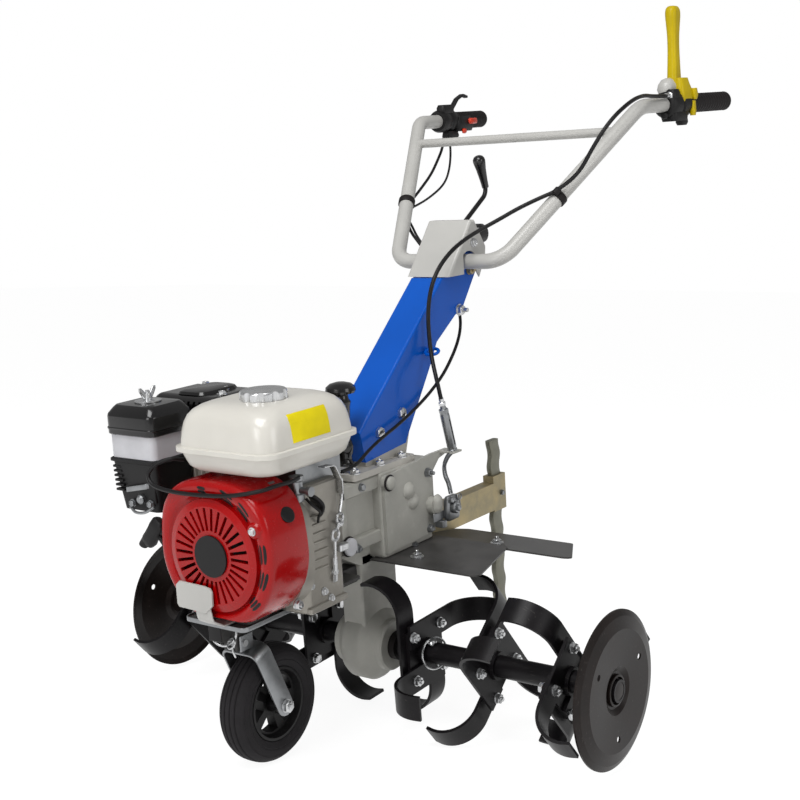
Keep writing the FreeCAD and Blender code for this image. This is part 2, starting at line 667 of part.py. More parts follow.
# ------------------------------------------------------------------ front wheel
tyre_half = wheel_width / 2
tyre_profile = [(rim_radius, tyre_half - 7), (rim_radius + 10, tyre_half - 1), (rim_radius + 19, tyre_half),
                (wheel_radius - 7, tyre_half - 3), (wheel_radius - 2, tyre_half - 9), (wheel_radius, tyre_half - 16)]
tyre_profile = tyre_profile + [(r, -h) for r, h in reversed(tyre_profile)]
solids["wheel_tyre"] = lathe(tyre_profile, (wheel_x, 0, wheel_z), (0, 1, 0))
rim_profile = [(6 + fit, 27), (14, 27), (14, 8), (rim_radius - 8, 10), (rim_radius - 4, tyre_half - 4),
               (rim_radius, tyre_half - 4)]
rim_profile = rim_profile + [(r, -h) for r, h in reversed(rim_profile)]
rim = lathe(rim_profile, (wheel_x, 0, wheel_z), (0, 1, 0))
window = [(21, -20), (rim_radius - 12, -26), (rim_radius - 10.5, -9), (rim_radius - 10.5, 9),
          (rim_radius - 12, 26), (21, 20)]
for k in range(rim_spokes):
    turn = [(r, math.radians(a + 360.0 * k / rim_spokes)) for r, a in window]
    cut = prism([(wheel_x + r * math.cos(a), wheel_z + r * math.sin(a)) for r, a in turn], 60, "xz", -30)
    rim = rim.cut(cut)
solids["wheel_rim"] = rim
solids["wheel_bolt"] = rod((wheel_x, -fork_half - fork_strap - 8, wheel_z), (wheel_x, fork_half + fork_strap + 8, wheel_z), 6)
leg_top = Vector(fold_x - 14, 0, fold_z - 12)
lean = math.atan2(leg_top.x - wheel_x, leg_top.z - wheel_z)
length = math.hypot(leg_top.x - wheel_x, leg_top.z - wheel_z)
strap = box(-fork_width / 2, fork_width / 2, fork_half, fork_half + fork_strap, -fork_width / 2, length)
strap = strap.makeFillet(fork_width / 2 - 1, edges_where(strap, lambda c: c.z < 1 - fork_width / 2 and abs(c.x) > 1))
strap.rotate(Vector(0, 0, 0), Y, math.degrees(lean))
strap.translate(Vector(wheel_x, 0, wheel_z))
top = box(-fork_width / 2, fork_width / 2, -fork_half - fork_strap, fork_half + fork_strap, length - fork_strap, length)
top.rotate(Vector(0, 0, 0), Y, math.degrees(lean))
top.translate(Vector(wheel_x, 0, wheel_z))
knuckle_half = tube_side / 2 - 5 - seat_gap
knuckle = rod((fold_x, -knuckle_half, fold_z), (fold_x, knuckle_half, fold_z), 8.5)
knuckle = knuckle.fuse(box(fold_x - 20, fold_x, -knuckle_half, knuckle_half, fold_z - 13, fold_z + 2))
fork = strap.fuse([mirrored(strap), top, knuckle])
fork = fork.cut(rod((fold_x, -40, fold_z), (fold_x, 40, fold_z), hinge_pin_radius + fit))
fork = fork.cut(rod((wheel_x, -60, wheel_z), (wheel_x, 60, wheel_z), 6.0))
solids["wheel_fork"] = fork.removeSplitter()
solids["fold_pin"] = rod((fold_x, -tube_side / 2 - 6, fold_z), (fold_x, tube_side / 2 + 6, fold_z), hinge_pin_radius)

# ------------------------------------------------------------------ rear hitch
hz0 = hitch_mid_z - hitch_height / 2
hz1 = hitch_mid_z + hitch_height / 2
bar_back = socket_x + spur_depth / 2 + sleeve_wall + fit
hitch = box(bar_back, box_back, -hitch_width / 2, hitch_width / 2, hz0, hz1)
hitch = hitch.cut(box(bar_back - 1, box_back - 10, -hitch_width / 2 + hitch_wall, hitch_width / 2 - hitch_wall,
                      hz0 + hitch_wall, hz1 - hitch_wall))
slot_x = spur_depth / 2 + fit
slot_y = spur_thick / 2 + fit
sleeve = box(socket_x - slot_x - sleeve_wall, socket_x + slot_x + sleeve_wall, -slot_y - sleeve_wall,
             slot_y + sleeve_wall, hz0 - 4, hz1 + 12)
hitch = hitch.fuse(sleeve)
hitch = hitch.cut(box(socket_x - slot_x, socket_x + slot_x, -slot_y, slot_y, hz0 - 10, hz1 + 20))
solids["rear_hitch"] = hitch.removeSplitter()
spur = box(socket_x - spur_depth / 2, socket_x + spur_depth / 2, -spur_thick / 2, spur_thick / 2, spur_bottom, spur_top)
scallops = int((spur_top - spur_bottom - 30) / spur_notch)
for k in range(scallops):
    z = spur_bottom + 27 + spur_notch * k
    for x in (socket_x - spur_depth / 2 - 3, socket_x + spur_depth / 2 + 3):
        spur = spur.cut(rod((x, -spur_thick, z), (x, spur_thick, z), 6.5))
solids["depth_spur"] = spur

# ------------------------------------------------------------------ fenders
fz = box_bottom - fender_sheet
front = prism([(fender_front, 30), (fender_front, fender_out), (fender_mid, fender_out - 42), (fender_mid, 30)],
              fender_sheet, "xy", fz)
front = front.makeFillet(fender_corner, edges_where(front, lambda c: c.y > 100 and abs(c.z - fz - fender_sheet / 2) < 0.1))
rear_run = math.hypot(fender_back - fender_mid - 8, fender_drop)
rear = prism([(0, 14), (0, fender_out + 78), (-rear_run, fender_out + 4), (-rear_run, 30), (-rear_run + 16, 14)],
             fender_sheet, "xy", -fender_sheet)
rear = rear.makeFillet(fender_corner, edges_where(rear, lambda c: c.y > 100 and abs(c.z + fender_sheet / 2) < 0.1))
rear.rotate(Vector(0, 0, 0), Y, -math.degrees(math.asin(fender_drop / rear_run)))
rear.translate(Vector(fender_mid + 8, 0, fz))
solids["fender_left_front"] = front
solids["fender_right_front"] = mirrored(front)
solids["fender_left_rear"] = rear
solids["fender_right_rear"] = mirrored(rear)

# ------------------------------------------------------------------ clutch linkage
arm = (box_back - 34, plate_y + 24, 292)
adjuster_top = (arm[0] + 22, arm[1], arm[2] + 80)
sleeve = rod(arm, adjuster_top, 8)
sleeve = sleeve.cut(box(-400, 0, 0, 200, arm[2] - 20, arm[2]))
solids["cable_adjuster"] = sleeve
wire = rod((arm[0] - 2, arm[1], 215), (arm[0], arm[1], arm[2] - 3), 1.5)
clevis = box(arm[0] - 18, box_back + 22, plate_y + 16, plate_y + 32, 178, 220)
solids["clutch_link"] = wire.fuse(clevis).removeSplitter()

# ------------------------------------------------------------------ control cables
def riser_clip(side, radius, out):
    """Cable's middle where a clip holds it against a riser of the handlebar."""
    low = Vector(pivot_x, side * bar_low_half, pivot_z)
    run = Vector(bar_top_x, side * bar_top_half, bar_top_z) - low
    away = out - run * (out.dot(run) / run.dot(run))
    return low + run * clip_share + away.normalize() * (bar_radius + radius + clip_stand)


grip_run = (along_grip(1) - along_grip(0)).normalize()
seat = Vector(0, 12, 15) - grip_run * Vector(0, 12, 15).dot(grip_run)
clutch_start = along_grip(grip_length + 62) + seat
clutch_end = Vector(*adjuster_top)
lead_in = (clutch_end - Vector(*arm)).normalize()
clutch_route = [
    tuple(clutch_start), tuple(clutch_start + grip_run * 50), (-516, 256, 851), (-460, 260, 841), (-410, 248, 812),
    (-388, 226, 770), (-382, 201, 727), tuple(riser_clip(1, clutch_cable_radius, Vector(0.3, 0.4, 0.9))),
    (-353, 140, 690), (-326, 113, 675), (-298, 90, 658),
    (-271, 68, 643), (-235, 55, 627), (-196, 51, 607), (-165, 49, 581), (-150, 46, 549), (-145, 44, 514),
    (-144, 45, 478), (-138, 52, 446), tuple(clutch_end + lead_in * 36), adjuster_top,
]
solids["clutch_cable"] = cable_tube("clutch cable", clutch_route, clutch_cable_radius)
throttle_face = along_grip(grip_length + 30, -1)
throttle_end = (neck_front, crank_y + 17, crank_z + 66)
throttle_route = [
    tuple(throttle_face + Vector(0, -3, -22 - seat_gap)), (-650, -256, 786), (-618, -250, 758), (-574, -236, 733),
    (-522, -222, 711), (-470, -208, 691), (-424, -192, 680),
    tuple(riser_clip(-1, throttle_cable_radius, Vector(-0.3, -0.6, -0.7))),
    (-366, -146, 640), (-358, -116, 612), (-353, -84, 582), (-345, -54, 550), (-328, -24, 518), (-300, 4, 487),
    (-256, 26, 456),
    (-196, 39, 417), (-148, 42, 391), (-98, 42, 369), (-46, 43, 352), (2, 46, 341), (44, 50, 329), (78, 52, 313),
    throttle_end,
]
solids["throttle_cable"] = cable_tube("throttle cable", throttle_route, throttle_cable_radius)

# ------------------------------------------------------------------ place and export
turn = Placement(Vector(0, 0, 0), Rotation(Y, math.degrees(pitch)))
placed = {}
for name, shape in solids.items():
    body = shape.copy()
    body.Placement = turn.multiply(body.Placement)
    placed[name] = body
whole = Part.makeCompound(list(placed.values()))
bounds = whole.optimalBoundingBox(True, False) if hasattr(whole, "optimalBoundingBox") else whole.BoundBox
shift = Vector(-(bounds.XMin + bounds.XMax) / 2, -(bounds.YMin + bounds.YMax) / 2, -bounds.ZMin)
os.makedirs("parts", exist_ok=True)
for name, body in placed.items():
    body.translate(shift)
    body.exportStep("parts/%s.step" % name)
    if len(body.Solids) != 1 or not body.isValid():
        print("check", name, len(body.Solids), "solids, valid", body.isValid())


def row_point(x, y, z):
    """Machine-frame point in the finished frame, in metres."""
    p = turn.multVec(Vector(x, y, z)) + shift
    return tuple(round(v / 1000, 6) for v in p)


print("pitch", round(math.degrees(pitch), 4), "shift", tuple(round(v, 4) for v in shift))
print("size", round(bounds.XLength, 2), round(bounds.YLength, 2), round(bounds.ZLength, 2))
for label, point in (("axle", (0, 0, 0)), ("wheel", (wheel_x, 0, wheel_z)), ("fold", (fold_x, 0, fold_z)),
                     ("pivot", (pivot_x, 0, pivot_z)), ("socket", (socket_x, 0, hitch_mid_z)),
                     ("clutch_end", adjuster_top), ("throttle_end", throttle_end)):
    print(label, row_point(*point))
print(len(placed), "pieces")
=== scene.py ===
"""Walk-behind rotary tiller: finishes, castings, covers, rubber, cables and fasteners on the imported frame."""
import json
import math

import bmesh
import bpy
import numpy as np
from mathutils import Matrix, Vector


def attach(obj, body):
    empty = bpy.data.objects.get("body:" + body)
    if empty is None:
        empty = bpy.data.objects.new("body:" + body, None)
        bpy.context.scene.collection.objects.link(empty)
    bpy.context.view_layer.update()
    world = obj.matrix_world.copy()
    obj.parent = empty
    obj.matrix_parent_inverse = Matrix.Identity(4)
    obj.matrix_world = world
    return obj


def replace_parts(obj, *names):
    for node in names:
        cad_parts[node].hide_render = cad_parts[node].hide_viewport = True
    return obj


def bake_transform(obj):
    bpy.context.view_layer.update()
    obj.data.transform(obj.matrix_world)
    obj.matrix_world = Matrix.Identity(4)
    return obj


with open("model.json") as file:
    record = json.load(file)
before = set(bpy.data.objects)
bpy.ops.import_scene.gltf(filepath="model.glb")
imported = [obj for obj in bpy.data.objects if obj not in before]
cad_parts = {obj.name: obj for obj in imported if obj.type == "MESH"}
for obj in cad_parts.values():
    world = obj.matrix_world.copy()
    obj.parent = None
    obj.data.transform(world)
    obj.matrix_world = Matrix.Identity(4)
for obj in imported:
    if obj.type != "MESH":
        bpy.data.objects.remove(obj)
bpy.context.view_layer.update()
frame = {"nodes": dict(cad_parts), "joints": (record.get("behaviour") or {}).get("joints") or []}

nodes = frame["nodes"]
joints = {j["name"]: j for j in frame["joints"]}
up = joints["spur_slide"]["axis"]
NOSE_DOWN = math.atan2(up[0], up[2])
AXLE = np.array(joints["tine_spin"]["pos_m"], float)
X, Y, Z = (1, 0, 0), (0, 1, 0), (0, 0, 1)


def place(points):
    """Machine millimetres to metres in the row frame: nose-down turn about +Y, then the axle's place is added.

    x' = x cos p + z sin p, y' = y, z' = z cos p - x sin p.
    """
    p = np.asarray(points, float) / 1000
    c, s = math.cos(NOSE_DOWN), math.sin(NOSE_DOWN)
    x, y, z = p[..., 0], p[..., 1], p[..., 2]
    return AXLE + np.stack((x * c + z * s, y, z * c - x * s), -1)


# ---------------------------------------------------------------- camera, light and floor
def stand_camera():
    """Camera at the viewing angle: yaw and pitch give the look direction, the lens the field of view."""
    yaw, tilt = math.radians(36.5578), math.radians(5.8445)
    look = Vector((-math.cos(yaw) * math.cos(tilt), -math.sin(yaw) * math.cos(tilt), -math.sin(tilt)))
    data = bpy.data.cameras.new("camera")
    data.sensor_width = 36.0
    data.lens = 60.94
    data.clip_end = 60.0
    camera = bpy.data.objects.new("camera", data)
    bpy.context.scene.collection.objects.link(camera)
    camera.location = (AXLE[0] + 1.7117, 1.3254, 0.7406)
    camera.rotation_mode = "QUATERNION"
    camera.rotation_quaternion = look.to_track_quat("-Z", "Y")
    bpy.context.scene.camera = camera


def softbox(name, at, aim, size, power):
    """Square area lamp at a point, turned to face another."""
    data = bpy.data.lights.new(name, "AREA")
    data.shape = "SQUARE"
    data.size = size
    data.energy = power
    lamp = bpy.data.objects.new(name, data)
    lamp.location = at
    lamp.rotation_mode = "QUATERNION"
    lamp.rotation_quaternion = (Vector(aim) - Vector(at)).to_track_quat("-Z", "Y")
    bpy.context.scene.collection.objects.link(lamp)


# ---------------------------------------------------------------- shader arithmetic
class Value:
    """A socket in a sum: each operator adds one Math node, so a formula is written as it reads."""

    def __init__(self, maker, socket):
        self.maker, self.socket = maker, socket

    def _math(self, operation, other):
        return self.maker.node("ShaderNodeMath", {"operation": operation}, self, other)

    def __add__(self, other):
        return self._math("ADD", other)

    def __sub__(self, other):
        return self._math("SUBTRACT", other)

    def __mul__(self, other):
        return self._math("MULTIPLY", other)

    __radd__ = __add__
    __rmul__ = __mul__


class Finish:
    """The node tree of one material, with the few textures that the machine's surfaces share."""

    def __init__(self, name):
        self.material = bpy.data.materials.new(name)
        self.material.use_nodes = True
        self.tree = self.material.node_tree
        self.tree.nodes.clear()
        self.shader = self.tree.nodes.new("ShaderNodeBsdfPrincipled")
        output = self.tree.nodes.new("ShaderNodeOutputMaterial")
        self.tree.links.new(self.shader.outputs[0], output.inputs[0])
        self.where = self.node("ShaderNodeTexCoord", {}, out="Object")

    def node(self, kind, settings, *values, out=0, **named):
        """One node: its settings first, then values or links by order and by socket name."""
        made = self.tree.nodes.new(kind)
        for key, setting in settings.items():
            setattr(made, key, setting)
        pairs = list(zip(made.inputs, values))
        pairs += [(made.inputs[key.replace("_", " ")], value) for key, value in named.items()]
        for socket, value in pairs:
            self.join(socket, value)
        return Value(self, made.outputs[out])

    def join(self, socket, value):
        """A link where the value is a socket, and its default otherwise."""
        if isinstance(value, Value):
            self.tree.links.new(value.socket, socket)
        elif value is not None:
            socket.default_value = value

    def speckle(self, scale, detail=2.0, stretch=(1, 1, 1), shift=(0, 0, 0), rough=0.5):
        """Noise in object metres, `scale` spots to the metre, drawn out by `stretch`."""
        spot = self.node("ShaderNodeMapping", {}, self.where, shift, (0, 0, 0), stretch)
        return self.node("ShaderNodeTexNoise", {}, Vector=spot, Scale=scale, Detail=detail, Roughness=rough)

    def between(self, value, low, high):
        """Clamped straight ramp of a value from low..high to 0..1."""
        return self.node("ShaderNodeMapRange", {"clamp": True}, value, low, high)

    def tint(self, mask, first, second):
        """Colour mixed from first to second by the mask."""
        made = self.tree.nodes.new("ShaderNodeMix")
        made.data_type = "RGBA"
        for index, value in ((0, mask), (6, first), (7, second)):
            self.join(made.inputs[index], value)
        return Value(self, made.outputs[2])

    def relief(self, height, depth, strength=1.0):
        """Bump of a height field, `depth` metres high."""
        return self.node("ShaderNodeBump", {}, Strength=strength, Distance=depth, Height=height)

    def finish(self, colour, rough, normal=None, metal=0.0, **fixed):
        """Sockets of the shader; the fixed ones are plain numbers."""
        for key, value in (("Base Color", colour), ("Roughness", rough), ("Normal", normal),
                           ("Metallic", metal)):
            self.join(self.shader.inputs[key], value)
        for key, value in fixed.items():
            self.shader.inputs[key.replace("_", " ")].default_value = value
        return self.material


def srgb(red, green, blue, alpha=1.0):
    """Screen colour, 0 to 255, as linear light: ((c + 0.055) / 1.055) ** 2.4 over the toe."""
    c = np.array((red, green, blue)) / 255
    line = np.where(c <= 0.04045, c / 12.92, ((c + 0.055) / 1.055) ** 2.4)
    return (*line.tolist(), alpha)


def shade(colour, factor):
    """The same colour, lighter or darker by a factor."""
    return tuple(min(1.0, c * factor) for c in colour[:3]) + (1.0,)


def paint(name, colour, rough=0.3, coat=0.35, dust=0.10, shine=0.5):
    """Sprayed enamel: slow drift in tone, fine orange peel, and a breath of dust."""
    f = Finish(name)
    drift = f.speckle(7, 3)
    grit = f.between(f.speckle(160, 5, shift=(3, 1, 2), rough=0.7), 0.55, 0.8)
    body = f.tint(f.between(drift, 0.35, 0.65), shade(colour, 0.93), shade(colour, 1.05))
    body = f.tint(grit * dust, body, srgb(190, 184, 172))
    peel = f.speckle(420, 1)
    return f.finish(body, rough + 0.08 * drift + 0.12 * grit, f.relief(peel, 0.00002, 0.3), Coat_Weight=coat,
                    Coat_Roughness=0.06, Specular_IOR_Level=shine)


def casting(name, colour, metal=0.0, rough=0.55):
    """Sand-cast alloy: pebbled skin, dark hollows and paler rubbed spots."""
    f = Finish(name)
    pebble = f.speckle(900, 3, rough=0.6)
    blotch = f.speckle(14, 4, shift=(5, 2, 8), rough=0.6)
    rubbed = f.between(f.speckle(60, 5, shift=(1, 7, 3)), 0.58, 0.75)
    body = f.tint(f.between(blotch, 0.3, 0.7), shade(colour, 0.86), shade(colour, 1.08))
    body = f.tint(rubbed * 0.35, body, shade(colour, 1.25))
    height = pebble + 0.8 * blotch
    return f.finish(body, rough + 0.15 * pebble - 0.12 * rubbed, f.relief(height, 0.00025, 0.7), metal)


def plated(name, colour, rough=0.28, tinted=None, metal=0.95):
    """Zinc plate: soft spangle clouds, drawing lines along X and a faint passivated tint."""
    f = Finish(name)
    cloud = f.speckle(32, 4, rough=0.65)
    lines = f.speckle(260, 2, stretch=(0.08, 1, 1), shift=(2, 2, 0))
    body = f.tint(f.between(cloud, 0.35, 0.68), shade(colour, 0.84), tinted or shade(colour, 1.1))
    return f.finish(body, rough + 0.16 * cloud + 0.08 * lines, f.relief(lines, 0.00005, 0.5), metal)


def black_steel(name, colour, rough=0.36, wear=0.25):
    """Black stoving enamel on steel: dust in a broad haze, fine scratches and scuffs."""
    f = Finish(name)
    haze = f.speckle(18, 5, rough=0.6)
    scratch = f.between(f.speckle(520, 2, stretch=(1, 0.05, 0.4), shift=(4, 0, 1)), 0.66, 0.76)
    scuff = f.between(f.speckle(75, 6, shift=(9, 3, 6), rough=0.75), 0.62, 0.78)
    body = f.tint(f.between(haze, 0.35, 0.7), shade(colour, 0.75), shade(colour, 1.5))
    body = f.tint(wear * scuff, body, srgb(92, 86, 80))
    body = f.tint(0.16 * scratch, body, srgb(120, 116, 110))
    return f.finish(body, rough + 0.16 * haze + 0.1 * scuff, f.relief(haze + 0.3 * scratch, 0.0001, 0.5),
                    Specular_IOR_Level=0.2)


def moulded(name, colour, rough=0.35, grain=0.00006, coat=0.0, shine=0.4):
    """Moulded plastic: fine spark grain and faint flow drift."""
    f = Finish(name)
    spark = f.speckle(1300, 2)
    flow = f.speckle(22, 3, shift=(1, 1, 6))
    body = f.tint(f.between(flow, 0.3, 0.7), shade(colour, 0.9), shade(colour, 1.12))
    return f.finish(body, rough + 0.14 * flow, f.relief(spark, grain, 0.8), Coat_Weight=coat,
                    Coat_Roughness=0.08, Specular_IOR_Level=shine)


def rubber(name, colour, rough=0.72):
    """Vulcanised rubber: dull skin with bloom."""
    f = Finish(name)
    bloom = f.speckle(26, 5, rough=0.7)
    skin = f.speckle(1500, 2)
    body = f.tint(f.between(bloom, 0.35, 0.7), shade(colour, 0.8), shade(colour, 1.45))
    return f.finish(body, rough + 0.15 * bloom, f.relief(skin + 0.5 * bloom, 0.00012, 0.7),
                    Specular_IOR_Level=0.28)


finishes = {
    "blue": paint("blue_enamel", srgb(0, 82, 182), 0.28, 0.1, 0.0, 0.2),
    "light_grey": paint("light_grey_enamel", srgb(182, 181, 177), 0.36, 0.15, 0.03),
    "red": paint("red_enamel", srgb(158, 2, 4), 0.2, 0.2, 0.0, 0.22),
    "tank": paint("tank_white", srgb(206, 203, 195), 0.26, 0.35, 0.04),
    "cast": casting("grey_casting", srgb(170, 169, 162), 0.1, 0.46),
    "foot": casting("foot_casting", srgb(184, 181, 174), 0.2, 0.4),
    "engine": casting("engine_alloy", srgb(152, 148, 140), 0.5, 0.34),
    "zinc": plated("zinc_plate", srgb(150, 152, 154), 0.26),
    "yellow_zinc": plated("passivated_zinc", srgb(158, 149, 122), 0.34, srgb(176, 160, 122), 0.75),
    "bright": plated("bright_fastener", srgb(205, 206, 207), 0.16),
    "spur": casting("spur_steel", srgb(126, 125, 112), 0.5, 0.4),
    "tine": black_steel("blade_black", srgb(17, 15, 17), 0.3, 0.14),
    "disc": black_steel("disc_black", srgb(27, 21, 19), 0.3, 0.12),
    "sheet": black_steel("fender_steel", srgb(60, 59, 58), 0.28, 0.14),
    "gloss_black": moulded("gloss_black_plastic", srgb(12, 11, 12), 0.12, 0.00002, 0.3),
    "matte_black": moulded("matte_black_plastic", srgb(17, 16, 17), 0.42, 0.00008, 0.0, 0.3),
    "milky": moulded("milky_plastic", srgb(196, 196, 200), 0.4),
    "yellow": moulded("yellow_plastic", srgb(190, 166, 0), 0.3, 0.00002, 0.05, 0.22),
    "label": moulded("yellow_label", srgb(222, 204, 14), 0.45, 0.00001, 0.0, 0.2),
    "orange": moulded("orange_plastic", srgb(205, 52, 20), 0.3, 0.00003, 0.2),
    "tyre": rubber("tyre_rubber", srgb(30, 28, 30), 0.7),
    "grip": rubber("grip_rubber", srgb(20, 16, 16), 0.5),
    "sheath": rubber("cable_sheath", srgb(15, 14, 15), 0.36),
}

dressed = [
    ("tine_set", "tine"), ("tine_shaft", "tine"), ("guard_disc", "disc"), ("drive_axle", "zinc"),
    ("gear_case", "cast"), ("axle_seal", "grip"), ("case_side_plate", "cast"), ("column_foot", "foot"),
    ("column_cover", "light_grey"), ("column", "blue"), ("handlebar", "light_grey"), ("grip", "grip"),
    ("clutch_housing", "matte_black"), ("clutch_lever", "yellow"), ("clutch_link", "yellow_zinc"),
    ("throttle_", "matte_black"), ("gear_lever_grip", "matte_black"), ("gear_lever", "matte_black"),
    ("selector", "matte_black"), ("engine_block", "engine"), ("engine_plate", "sheet"), ("fan_cover", "red"),
    ("recoil_cover", "red"), ("recoil_badge", "matte_black"), ("starter", "matte_black"),
    ("flywheel", "matte_black"), ("fuel_tank", "tank"), ("fuel_cap", "bright"), ("tank_bracket", "zinc"),
    ("air_cleaner_lid", "gloss_black"), ("air_cleaner_band", "milky"), ("air_cleaner", "matte_black"),
    ("muffler", "gloss_black"), ("wheel_tyre", "tyre"), ("wheel_rim", "matte_black"),
    ("wheel_bolt", "bright"), ("wheel_fork", "zinc"), ("wheel_tube", "sheet"), ("bumper", "light_grey"),
    ("fold_pin", "bright"), ("rear_hitch", "yellow_zinc"), ("depth_spur", "spur"), ("fender", "sheet"),
    ("cable_adjuster", "zinc"), ("", "engine"),
]
for name, thing in nodes.items():
    key = next(finish for start, finish in dressed if name.startswith(start))
    thing.data.materials.clear()
    thing.data.materials.append(finishes[key])


# ---------------------------------------------------------------- surfaces on a grid
def patch_faces(rows, cols, wrap_rows, wrap_cols):
    """Quads (i, j), (i + 1, j), (i + 1, j + 1), (i, j + 1) of a grid, counted round where it wraps."""
    i, j = np.meshgrid(np.arange(rows - (not wrap_rows)), np.arange(cols - (not wrap_cols)), indexing="ij")
    i2, j2 = (i + 1) % rows, (j + 1) % cols
    return np.stack((i * cols + j, i2 * cols + j, i2 * cols + j2, i * cols + j2), -1).reshape(-1, 4)


def square_to(axis):
    """Two unit vectors square to an axis and to each other."""
    axis = np.asarray(axis, float) / np.linalg.norm(axis)
    side = np.cross(axis, (0, 0, 1) if abs(axis[2]) < 0.9 else (1, 0, 0))
    side /= np.linalg.norm(side)
    return side, np.cross(axis, side), axis


def turned(profile, at, axis, steps=32, hexed=()):
    """Surface of revolution: at + r(v) (cos u side + sin u top) + h(v) axis.

    Rings listed in `hexed` have the radius r / cos of the angle to the nearest flat, so they are hexagons.
    """
    side, top, along = square_to(axis)
    turn = np.arange(steps) * 2 * np.pi / steps
    r, h = np.asarray(profile, float).T
    sector = np.pi / 3
    corner = 1 / np.cos((turn + sector / 2) % sector - sector / 2)
    radius = np.repeat(r[:, None], steps, 1)
    for ring in hexed:
        radius[ring] = r[ring] * corner
    grid = (np.asarray(at, float)
            + radius[..., None] * (np.cos(turn)[:, None] * side + np.sin(turn)[:, None] * top)
            + h[:, None, None] * along)
    return grid, False, True


def hoop(profile, at, axis, steps=32):
    """Ring whose section is the closed profile, turned about the axis."""
    return turned(profile, at, axis, steps)[0], True, True


def bolt(at, axis, across=13.0, head=6.0, washer=11.0, shank=0.0):
    """Hexagon head on a washer: a round disc, six flats, a chamfered crown and, where asked, a bolt end."""
    a = across / 2
    w = 1.6 if washer else 0.0
    rings = [(0, 0), (washer or a, 0), (washer or a, w), (a, w), (a, w + 0.86 * head), (0.9 * a, w + head)]
    hexed = [3, 4]
    if shank:
        rings += [(0.5 * a, w + head), (0.5 * a, w + head + shank - 0.6), (0.42 * a, w + head + shank),
                  (0, w + head + shank)]
    else:
        rings += [(0.72 * a, w + head), (0.68 * a, w + head - 0.5), (0, w + head - 0.5)]
    return turned(rings, at, axis, 24, hexed)


def capped(grid, first, last):
    """Rows of a grid with one point before them and one after them."""
    return np.concatenate((np.broadcast_to(first, (1, *grid.shape[1:])), grid,
                           np.broadcast_to(last, (1, *grid.shape[1:]))))


def tube(route, radius, sides=12, closed=False):
    """Round section along a route: q(t) + r (cos u side(t) + sin u top(t)), its ends drawn to a point."""
    q = np.asarray(route, float)
    if closed:
        ahead = np.roll(q, -1, 0) - np.roll(q, 1, 0)
    else:
        ahead = np.gradient(q, axis=0)
    ahead /= np.linalg.norm(ahead, axis=1, keepdims=True)
    spare = np.linalg.svd(ahead)[2][-1]
    side = np.cross(ahead, spare)
    side /= np.linalg.norm(side, axis=1, keepdims=True)
    top = np.cross(ahead, side)
    turn = np.arange(sides) * 2 * np.pi / sides
    ring = np.cos(turn)[:, None] * side[:, None] + np.sin(turn)[:, None] * top[:, None]
    r = np.broadcast_to(np.asarray(radius, float), len(q))[:, None, None]
    grid = q[:, None] + r * ring
    if not closed:
        grid = capped(grid, q[0], q[-1])
    return grid, closed, True


def smooth_route(points, count=48):
    """Catmull-Rom curve through the points, sampled evenly: cubic blends of four neighbours."""
    p = np.asarray(points, float)
    p = np.concatenate((2 * p[:1] - p[1:2], p, 2 * p[-1:] - p[-2:-1]))
    t = np.linspace(0, len(p) - 3 - 1e-9, count)
    k = t.astype(int)
    u = (t - k)[:, None]
    a, b, c, d = p[k], p[k + 1], p[k + 2], p[k + 3]
    return 0.5 * (2 * b + (c - a) * u + (2 * a - 5 * b + 4 * c - d) * u ** 2
                  + (3 * b - a - 3 * c + d) * u ** 3)


def slab(corners, thick, axis):
    """Flat plate: a ring of corners and its copy moved along the axis, closed by points at both centres."""
    ring = np.asarray(corners, float)
    step = np.asarray(axis, float) * thick
    centre = ring.mean(0)
    inner = centre + (ring - centre) * 0.98
    rows = (np.broadcast_to(centre, ring.shape), inner, ring, ring + step, inner + step,
            np.broadcast_to(centre + step, ring.shape))
    return np.stack(rows), False, True


def rounded_ring(width, height, radius, per_corner=6):
    """Rounded rectangle: centre of each corner plus a quarter circle, counted round."""
    k = np.arange(4 * per_corner) // per_corner
    turn = (np.arange(4 * per_corner) % per_corner) * (np.pi / 2) / (per_corner - 1) + k * np.pi / 2
    cx = np.array((1, -1, -1, 1))[k] * (width / 2 - radius)
    cy = np.array((1, 1, -1, -1))[k] * (height / 2 - radius)
    return np.stack((cx + radius * np.cos(turn), cy + radius * np.sin(turn)), -1)


def make(name, patches, finish, body="machine", bevel=0.0, sharp=35):
    """One piece from its patches: points and quads in whole arrays, doubles merged, faces turned outwards."""
    points, faces, count = [], [], 0
    for grid, wrap_rows, wrap_cols in patches:
        rows, cols = grid.shape[:2]
        points.append(grid.reshape(-1, 3))
        faces.append(patch_faces(rows, cols, wrap_rows, wrap_cols) + count)
        count += rows * cols
    mesh = bpy.data.meshes.new(name)
    mesh.from_pydata(place(np.concatenate(points)).tolist(), [], np.concatenate(faces).tolist())
    work = bmesh.new()
    work.from_mesh(mesh)
    bmesh.ops.remove_doubles(work, verts=work.verts, dist=2e-6)
    bmesh.ops.dissolve_degenerate(work, edges=work.edges, dist=1e-7)
    bmesh.ops.recalc_face_normals(work, faces=work.faces)
    work.to_mesh(mesh)
    work.free()
    mesh.polygons.foreach_set("use_smooth", np.ones(len(mesh.polygons), bool))
    mesh.set_sharp_from_angle(angle=math.radians(sharp))
    piece = bpy.data.objects.new(name, mesh)
    bpy.context.scene.collection.objects.link(piece)
    mesh.materials.append(finishes[finish])
    if bevel:
        rim = piece.modifiers.new("edge", "BEVEL")
        rim.width, rim.segments, rim.limit_method, rim.angle_limit = bevel / 1000, 2, "ANGLE", math.radians(40)
    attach(piece, body)
    return piece


